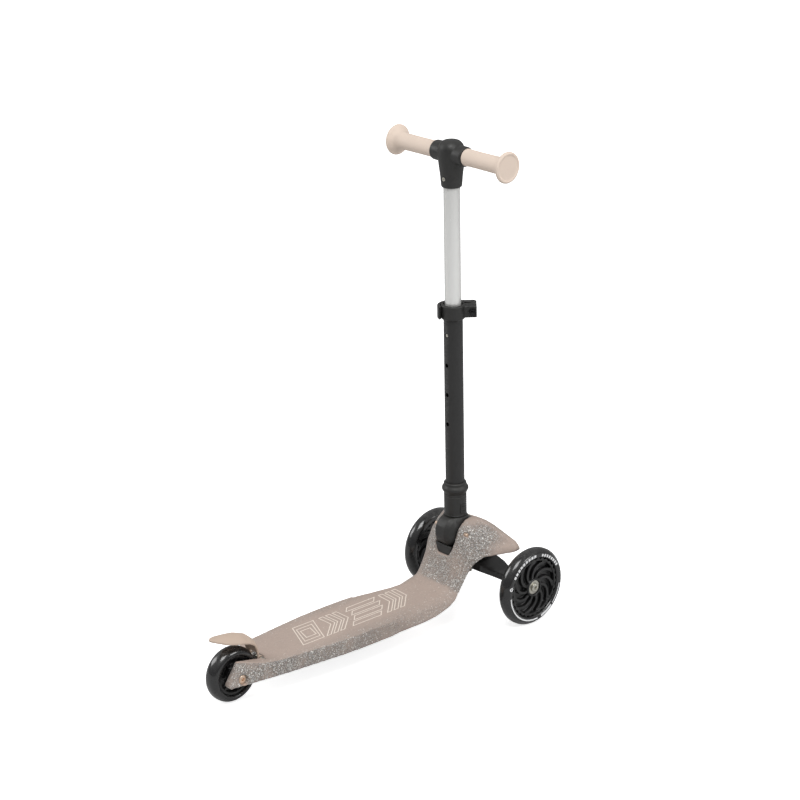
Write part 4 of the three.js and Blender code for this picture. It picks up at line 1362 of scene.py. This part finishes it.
@dataclass
class RearWheel:
    """The small rear wheel with its bearings, spacers and axle bolt."""

    radius: float = 40.6
    half_width: float = 12.2
    seat: float = 29.3
    # Sizes of a thin black disc between the spokes: painted shade for the dark seen through the wheel.
    web_inner: float = 12.0
    shade_disc_outer: float = 26.0
    web_half: float = 0.6
    tyre: bpy.types.Object = field(init=False)
    core: bpy.types.Object = field(init=False)

    def build(self) -> None:
        """Builds the tyre and the core, with a thin black disc that closes the spokes' gaps as painted shade.
        """
        axes = Matrix.Translation(node_middle("rear_tyre")) @ Matrix.Rotation(math.pi / 2, 4, "Y")
        half = self.half_width
        corners = [
            (self.seat, -half + 3, 0), (self.seat + 1.2, -half + 0.4, 1), (self.seat + 3, -half, 1),
            (self.radius - 4, -half + 1.4, 4), (self.radius - 0.5, -half + 6.5, 4), (self.radius, 0, 2),
            (self.radius - 0.5, half - 6.5, 4), (self.radius - 4, half - 1.4, 4), (self.seat + 3, half, 1),
            (self.seat + 1.2, half - 0.4, 1), (self.seat, half - 3, 0)]
        profile = rounded_profile(corners)
        self.tyre = lathe("tyre_rear", [*profile, profile[0]], axes, 112)
        core = cad_copy("rear_core", "core_rear")
        # Painted shade: a black disc fills the gaps between the spokes, where the wheel looks dark through
        # them.
        start, reach, thin = self.web_inner, self.shade_disc_outer, self.web_half
        disc = [(start, -thin), (reach, -thin), (reach, thin), (start, thin), (start, -thin)]
        web = lathe("web", disc, axes)
        self.core = fused(joined("core_rear", [core, web]), 0.6, 3)

    def dress(self) -> None:
        """Finishes the rear wheel and what holds it."""
        dress(self.tyre, REAR_TYRE, "rear_wheel", "rear_tyre")
        dress(self.core, GLOSS_BLACK, "rear_wheel", "rear_core")
        for side in ("left", "right"):
            dress_node(f"rear_bearing_{side}", ZINC, 0.3)
            dress_node(f"rear_spacer_{side}", ZINC, 0.2)
        dress_node("rear_axle_bolt", BRONZE, 0.2)
        dress_node("rear_axle_nut", BRONZE, 0.3)


@dataclass
class RearBrake:
    """The cream mudguard that is pressed down to brake, its shoe and its spring."""

    fender: bpy.types.Object = field(init=False)
    shoe: bpy.types.Object = field(init=False)

    def build(self) -> None:
        """Builds the mudguard and the shoe."""
        self.fender = fused(cad_copy("brake_fender", "mudguard"), 0.7, 7)
        self.shoe = fused(cad_copy("brake_shoe", "mudguard_shoe"), 0.6, 4)

    def dress(self) -> None:
        """Finishes the brake."""
        dress(self.fender, CREAM_PLASTIC, "brake", "brake_fender")
        dress(self.shoe, CREAM_PLASTIC, "brake", "brake_shoe")
        dress_node("brake_spring", SPRING_WIRE, 0.05)


@dataclass
class StemBase:
    """The folding knuckle, the sleeve with its button, and the ring above it."""

    sleeve_bottom: float = 160.2
    sleeve_seat: float = 185.7
    sleeve_top: float = 195.2
    sleeve_radius: float = 16.8
    tube_clearance: float = 14.3
    ring_bottom: float = 195.5
    button_height: float = 173.5
    pocket_half_width: float = 5.3
    pocket_half_height: float = 7.3
    axes: Matrix = field(default_factory=stem_axes)
    knuckle: bpy.types.Object = field(init=False)
    sleeve: bpy.types.Object = field(init=False)
    ring: bpy.types.Object = field(init=False)
    button: bpy.types.Object = field(init=False)

    def build(self) -> None:
        """Builds the knuckle, the sleeve, the ring and the button."""
        self.knuckle = fused(cad_copy("stem_knuckle", "folding_knuckle"), 0.7, 6)
        self.sleeve = self.make_sleeve()
        self.ring = self.make_ring()
        self.button = bevelled(cad_copy("fold_button", "fold_catch"), 0.3)

    def make_sleeve(self) -> bpy.types.Object:
        """Makes the sleeve: a socket with a fine groove near each end, and a pocket for the button.

        Returns:
            The sleeve.
        """
        low, top, radius, bore = self.sleeve_bottom, self.sleeve_top, self.sleeve_radius, self.tube_clearance
        corners = [
            (0, low, 0), (radius - 0.5, low, 0.6), (radius, low + 1, 0.5), (radius, low + 2.6, 0.2),
            (radius - 0.5, low + 3, 0.2), (radius - 0.5, low + 3.6, 0.2), (radius, low + 4, 0.2),
            (radius, top - 4.4, 0.2), (radius - 0.4, top - 4, 0.2), (radius - 0.4, top - 3.4, 0.2),
            (radius, top - 3, 0.2), (radius, top, 0.5), (bore, top, 0.2), (bore, self.sleeve_seat, 0.2),
            (0, self.sleeve_seat, 0)]
        sleeve = lathe("stem_socket", rounded_profile(corners, 3), self.axes)
        half, reach = self.pocket_half_width, self.pocket_half_height
        pocket = prism("pocket", [(-20, -half), (-6, -half), (-6, half), (-20, half)],
                       self.button_height - reach, self.button_height + reach, self.axes)
        return carve(sleeve, [pocket])

    def make_ring(self) -> bpy.types.Object:
        """Makes the ring that stands on the sleeve, widest at its middle.

        Returns:
            The ring.
        """
        low, bore = self.ring_bottom, self.tube_clearance
        corners = [
            (bore, low, 0), (16.6, low, 0.4), (17.2, low + 1.6, 0.8), (19.8, low + 6, 1.6),
            (19.8, low + 9, 1.6), (17, low + 13.2, 0.6), (16.8, low + 16.4, 0.5),
            (15.6, low + 17.5, 0.5), (bore, low + 17.5, 0)]
        return lathe("stem_ring", rounded_profile(corners) + [(bore, low)], self.axes)

    def dress(self) -> None:
        """Finishes the base of the stem."""
        dress(self.knuckle, SATIN_BLACK, "stem", "stem_knuckle")
        dress(self.sleeve, SATIN_BLACK, "stem", "stem_sleeve")
        dress(self.ring, SATIN_BLACK, "stem", "ring_collar")
        dress(self.button, SATIN_BLACK, "fold_button", "fold_button")
        dress_node("fold_button_spring", SPRING_WIRE, 0.05)


@dataclass
class TelescopicTubes:
    """The black outer tube with its height holes, and the satin silver tube that slides in it."""

    outer_radius: float = 14.0
    outer_bore: float = 12.5
    outer_low: float = 186.0
    outer_high: float = 487.5
    inner_radius: float = 11.9
    inner_bore: float = 10.5
    inner_low: float = 418.0
    inner_high: float = 699.0
    hole_top: float = 443.3
    hole_pitch: float = 45.6
    holes: int = 4
    hole_radius: float = 3.1
    keyway_half: float = 3.6
    keyway_radius: float = 13.45
    slit_half: float = 1.0
    slit_length: float = 26.0
    clamp_turn: float = 227.6
    axes: Matrix = field(default_factory=stem_axes)
    outer: bpy.types.Object = field(init=False)
    inner: bpy.types.Object = field(init=False)

    def hole(self, height: float, radius: float) -> bpy.types.Object:
        """Makes a cutter for a round hole through a tube's back wall.

        Args:
            height: The hole's height up the stem in millimetres.
            radius: Its radius in millimetres.

        Returns:
            The cutter.
        """
        back = Matrix.Rotation(-math.pi / 2, 4, "X")
        local = self.axes @ Matrix.Translation((0, 0, height * MM)) @ back
        return lathe("hole", [(0, 5), (radius, 5), (radius, 20), (0, 20)], local, 40)

    def tube(self, name: str, bore: float, radius: float, low: float, high: float) -> bpy.types.Object:
        """Makes a plain tube with eased ends.

        Args:
            name: The tube's name.
            bore: Its inner radius in millimetres.
            radius: Its outer radius in millimetres.
            low: The height of its foot up the stem in millimetres.
            high: The height of its top.

        Returns:
            The tube.
        """
        corners = [
            (bore, low, 0), (radius, low, 0.4), (radius, high, 0.5), (bore, high, 0.3), (bore, low + 0.1, 0)]
        return lathe(name, rounded_profile(corners, 3) + [(bore, low)], self.axes)

    def build(self) -> None:
        """Builds both tubes with their holes."""
        lowest = self.hole_top - (self.holes - 1) * self.hole_pitch
        half, deep = self.keyway_half, self.keyway_radius
        slot = [(-half, 10), (half, 10), (half, deep), (-half, deep)]
        keyway = prism("keyway", slot, lowest - 5, self.hole_top + 5, self.axes)
        turned = self.axes @ Matrix.Rotation(math.radians(self.clamp_turn), 4, "Z")
        cut = [(8, -self.slit_half), (20, -self.slit_half), (20, self.slit_half), (8, self.slit_half)]
        slit = prism("slit", cut, self.outer_high - self.slit_length, self.outer_high + 2, turned)
        heights = [self.hole_top - step * self.hole_pitch for step in range(self.holes)]
        cutters = [self.hole(height, self.hole_radius) for height in heights]
        outer = self.tube("stem_outer", self.outer_bore, self.outer_radius, self.outer_low, self.outer_high)
        self.outer = carve(outer, [keyway, slit, *cutters])
        inner = self.tube("stem_inner", self.inner_bore, self.inner_radius, self.inner_low, self.inner_high)
        self.inner = carve(inner, [self.hole(self.hole_top, self.hole_radius)])

    def dress(self) -> None:
        """Finishes the tubes and the catch between them."""
        dress(self.outer, POWDER_BLACK, "stem", "outer_tube")
        dress(self.inner, SATIN_SILVER, "handlebar_post", "inner_tube")
        dress_node("tube_end_plug", SATIN_BLACK)
        dress_node("snap_button", ZINC, 0.3)
        dress_node("snap_spring", SPRING_WIRE, 0.1)


@dataclass
class QuickClamp:
    """The split collar at the top of the outer tube, with its bolt, nut and lever."""

    collar: bpy.types.Object = field(init=False)
    lever: bpy.types.Object = field(init=False)

    def build(self) -> None:
        """Builds the collar and the lever."""
        self.collar = fused(cad_copy("clamp_collar", "clamp_band"), 0.5, 9)
        self.lever = fused(cad_copy("clamp_lever", "clamp_handle"), 0.5, 4)

    def dress(self) -> None:
        """Finishes the clamp."""
        dress(self.collar, SATIN_BLACK, "stem", "clamp_collar")
        dress(self.lever, SATIN_BLACK, "clamp_lever", "clamp_lever")
        for node in ("clamp_bolt", "clamp_nut", "lever_pin"):
            dress_node(node, BLACK_ZINC, 0.25)


@dataclass
class Handlebar:
    """The T-joint, its screw, the bar, and the two grips with mushroom caps."""

    bar_height: float = 711.4
    joint_bottom: float = 663.0
    arm_half: float = 31.0
    arm_radius: float = 14.4
    bar_radius: float = 9.5
    grip_inner: float = 31.4
    grip_outer: float = 114.4
    grip_radius: float = 12.5
    cap_radius: float = 22.3
    screw_pocket: float = 3.9
    axes: Matrix = field(default_factory=stem_axes)
    joint: bpy.types.Object = field(init=False)
    grips: list[bpy.types.Object] = field(init=False)

    def along_bar(self, side: int) -> Matrix:
        """Gives axes with their origin at the bar's middle and local Z towards one end."""
        middle = self.axes @ Matrix.Translation((0, 0, self.bar_height * MM))
        return middle @ Matrix.Rotation(side * math.pi / 2, 4, "Y")

    def build(self) -> None:
        """Builds the T-joint and the grips."""
        low = self.joint_bottom
        hub = lathe("hub", rounded_profile([
            (0, low, 0), (14, low, 1), (15, low + 1.8, 1), (16.2, 680, 3), (18.4, 697, 4), (19.5, 710, 4),
            (18.4, 723, 5), (13, 729.4, 4), (7, 731, 4), (0, 731.3, 0)]), self.axes)
        arms = lathe("arms", rounded_profile([
            (0, -self.arm_half, 0), (self.arm_radius - 0.8, -self.arm_half, 0.6),
            (self.arm_radius, -self.arm_half + 1.2, 0.8), (self.arm_radius, self.arm_half - 1.2, 0.8),
            (self.arm_radius - 0.8, self.arm_half, 0.6), (0, self.arm_half, 0)]), self.along_bar(1))
        joint = fused(joined("tee_moulding", [hub, arms]), 0.7, 6)
        back = Matrix.Translation(node_middle("t_joint_screw")) @ Matrix.Rotation(-math.pi / 2, 4, "X")
        radius = self.screw_pocket
        pocket = lathe("screw_pocket", [(0, -4), (radius, -4), (radius, 12), (0, 12)], back, 40)
        self.joint = carve(joint, [pocket])
        self.grips = [self.make_grip(word, side) for word, side in (("left", 1), ("right", -1))]

    def make_grip(self, word: str, side: int) -> bpy.types.Object:
        """Makes one grip: a slim waist that flares into a cap with a raised rim and a shallow dish.

        Args:
            word: Its side in node names.
            side: 1 for the left, -1 for the right.

        Returns:
            The grip.
        """
        start, end = self.grip_inner, self.grip_outer
        slim, cap = self.grip_radius, self.cap_radius
        bore = self.bar_radius + 0.3
        corners = [
            (bore, start, 0), (slim - 0.6, start, 0.6), (slim, start + 1.4, 0.8), (slim, start + 4, 0.5),
            (slim - 0.4, start + 5, 0.5), (slim - 0.5, start + 30, 20), (slim - 0.2, end - 18, 8),
            (slim + 1.4, end - 10, 4), (cap - 4, end - 6.6, 3), (cap, end - 4.6, 2), (cap, end - 1.6, 1.6),
            (cap - 1.8, end - 0.1, 1.4), (cap - 3.4, end, 0.6), (cap - 5, end - 1.1, 0.8),
            (cap - 9, end - 1.2, 3), (0, end - 0.7, 0)]
        profile = rounded_profile(corners)
        inside = [(0, end - 10.4), (bore, end - 10.4)]
        return lathe(f"grip_cover_{word}", [*profile, *inside, (bore, start)], self.along_bar(side))

    def dress(self) -> None:
        """Finishes the handlebar."""
        dress(self.joint, SATIN_BLACK, "handlebar_post", "t_joint")
        for grip, word in zip(self.grips, ("left", "right")):
            dress(grip, CREAM_RUBBER, "handlebar_post", f"grip_{word}")
        dress_node("t_joint_screw", ZINC, 0.2)
        dress_node("crossbar", SATIN_SILVER)


@dataclass(frozen=True)
class Softbox:
    """A square soft light: where it stands, its side in metres and its power in watts."""

    name: str
    place: tuple[float, float, float]
    size: float
    power: float


@dataclass
class Studio:
    """A pale floor, soft lights and the camera."""

    camera_place: tuple[float, float, float] = (-2.3238, 2.0509, 1.5079)
    target: tuple[float, float, float] = (0.0, -0.0712, 0.35)
    lens: float = 105.46
    shift: tuple[float, float] = (-0.0039, 0.0126)
    floor_half: float = 14.0
    floor_drop: float = 0.2
    sky_low: float = 0.3
    sky_top: float = 0.5
    softboxes: tuple[Softbox, ...] = (
        Softbox("key_softbox", (-1.2, 1.0, 3.0), 1.5, 46), Softbox("rim_softbox", (2.2, 1.5, 1.6), 1.2, 20),
        Softbox("side_softbox", (-2.4, -1.2, 1.6), 0.9, 21))

    def build(self) -> None:
        """Builds the floor, the sky, the lights and the camera."""
        bm = bmesh.new()
        bmesh.ops.create_grid(bm, x_segments=8, y_segments=8, size=self.floor_half)
        floor = object_from("studio_floor", bm)
        floor.location.z = -self.floor_drop * MM
        floor.data.materials.append(FLOOR_WHITE.material())
        self.make_sky()
        for softbox in self.softboxes:
            self.hang(softbox)
        self.make_camera()
        bpy.context.scene.view_settings.view_transform = "Standard"

    def make_sky(self) -> None:
        """Makes a white backdrop that lights the scooter softly, brighter above than at the horizon."""
        world = bpy.data.worlds.new("studio_sky")
        world.use_nodes = True
        world.node_tree.nodes.clear()
        book = NodeBook(world.node_tree)
        height = book.parts(book.add("TexCoord").outputs["Generated"])["Z"]
        climb = self.sky_top - self.sky_low
        glow = book.math("MULTIPLY_ADD", book.ramp(height, 0.1, 0.8), climb, self.sky_low)
        seen = book.add("Background", {"Color": (1.0, 1.0, 1.0), "Strength": 1.0})
        lit = book.add("Background", {"Color": (1.0, 1.0, 1.0), "Strength": glow})
        camera_ray = book.add("LightPath").outputs["Is Camera Ray"]
        both = book.add("MixShader", {0: camera_ray, 1: lit.outputs[0], 2: seen.outputs[0]})
        book.add("OutputWorld", {"Surface": both.outputs[0]})
        bpy.context.scene.world = world

    def hang(self, softbox: Softbox) -> None:
        """Adds a soft light that points at the scooter's middle.

        Args:
            softbox: The light's values.
        """
        light = bpy.data.lights.new(softbox.name, "AREA")
        light.energy = softbox.power
        light.size = softbox.size
        lamp = bpy.data.objects.new(softbox.name, light)
        bpy.context.scene.collection.objects.link(lamp)
        lamp.location = softbox.place
        aim = Vector(self.target) - Vector(softbox.place)
        lamp.rotation_euler = aim.to_track_quat("-Z", "Y").to_euler()

    def make_camera(self) -> None:
        """Places the camera behind the scooter, to its right and a little above it."""
        lens = bpy.data.cameras.new("studio_camera")
        lens.lens = self.lens
        lens.shift_x, lens.shift_y = self.shift
        camera = bpy.data.objects.new("studio_camera", lens)
        bpy.context.scene.collection.objects.link(camera)
        camera.location = self.camera_place
        aim = Vector(self.target) - Vector(self.camera_place)
        camera.rotation_euler = aim.to_track_quat("-Z", "Y").to_euler()
        bpy.context.scene.camera = camera


def main() -> None:
    """Builds and dresses the scooter, one sub-assembly at a time."""
    logging.basicConfig(level=logging.INFO, format="%(message)s")
    Studio().build()
    assemblies = [
        Deck(), SteeringBridge(), FrontWheel(Side.LEFT), FrontWheel(Side.RIGHT), RearWheel(), RearBrake(),
        StemBase(), TelescopicTubes(), QuickClamp(), Handlebar()]
    for assembly in assemblies:
        assembly.build()
        assembly.dress()
        LOG.info("%s is done", type(assembly).__name__)


if __name__ == "__main__":
    main()
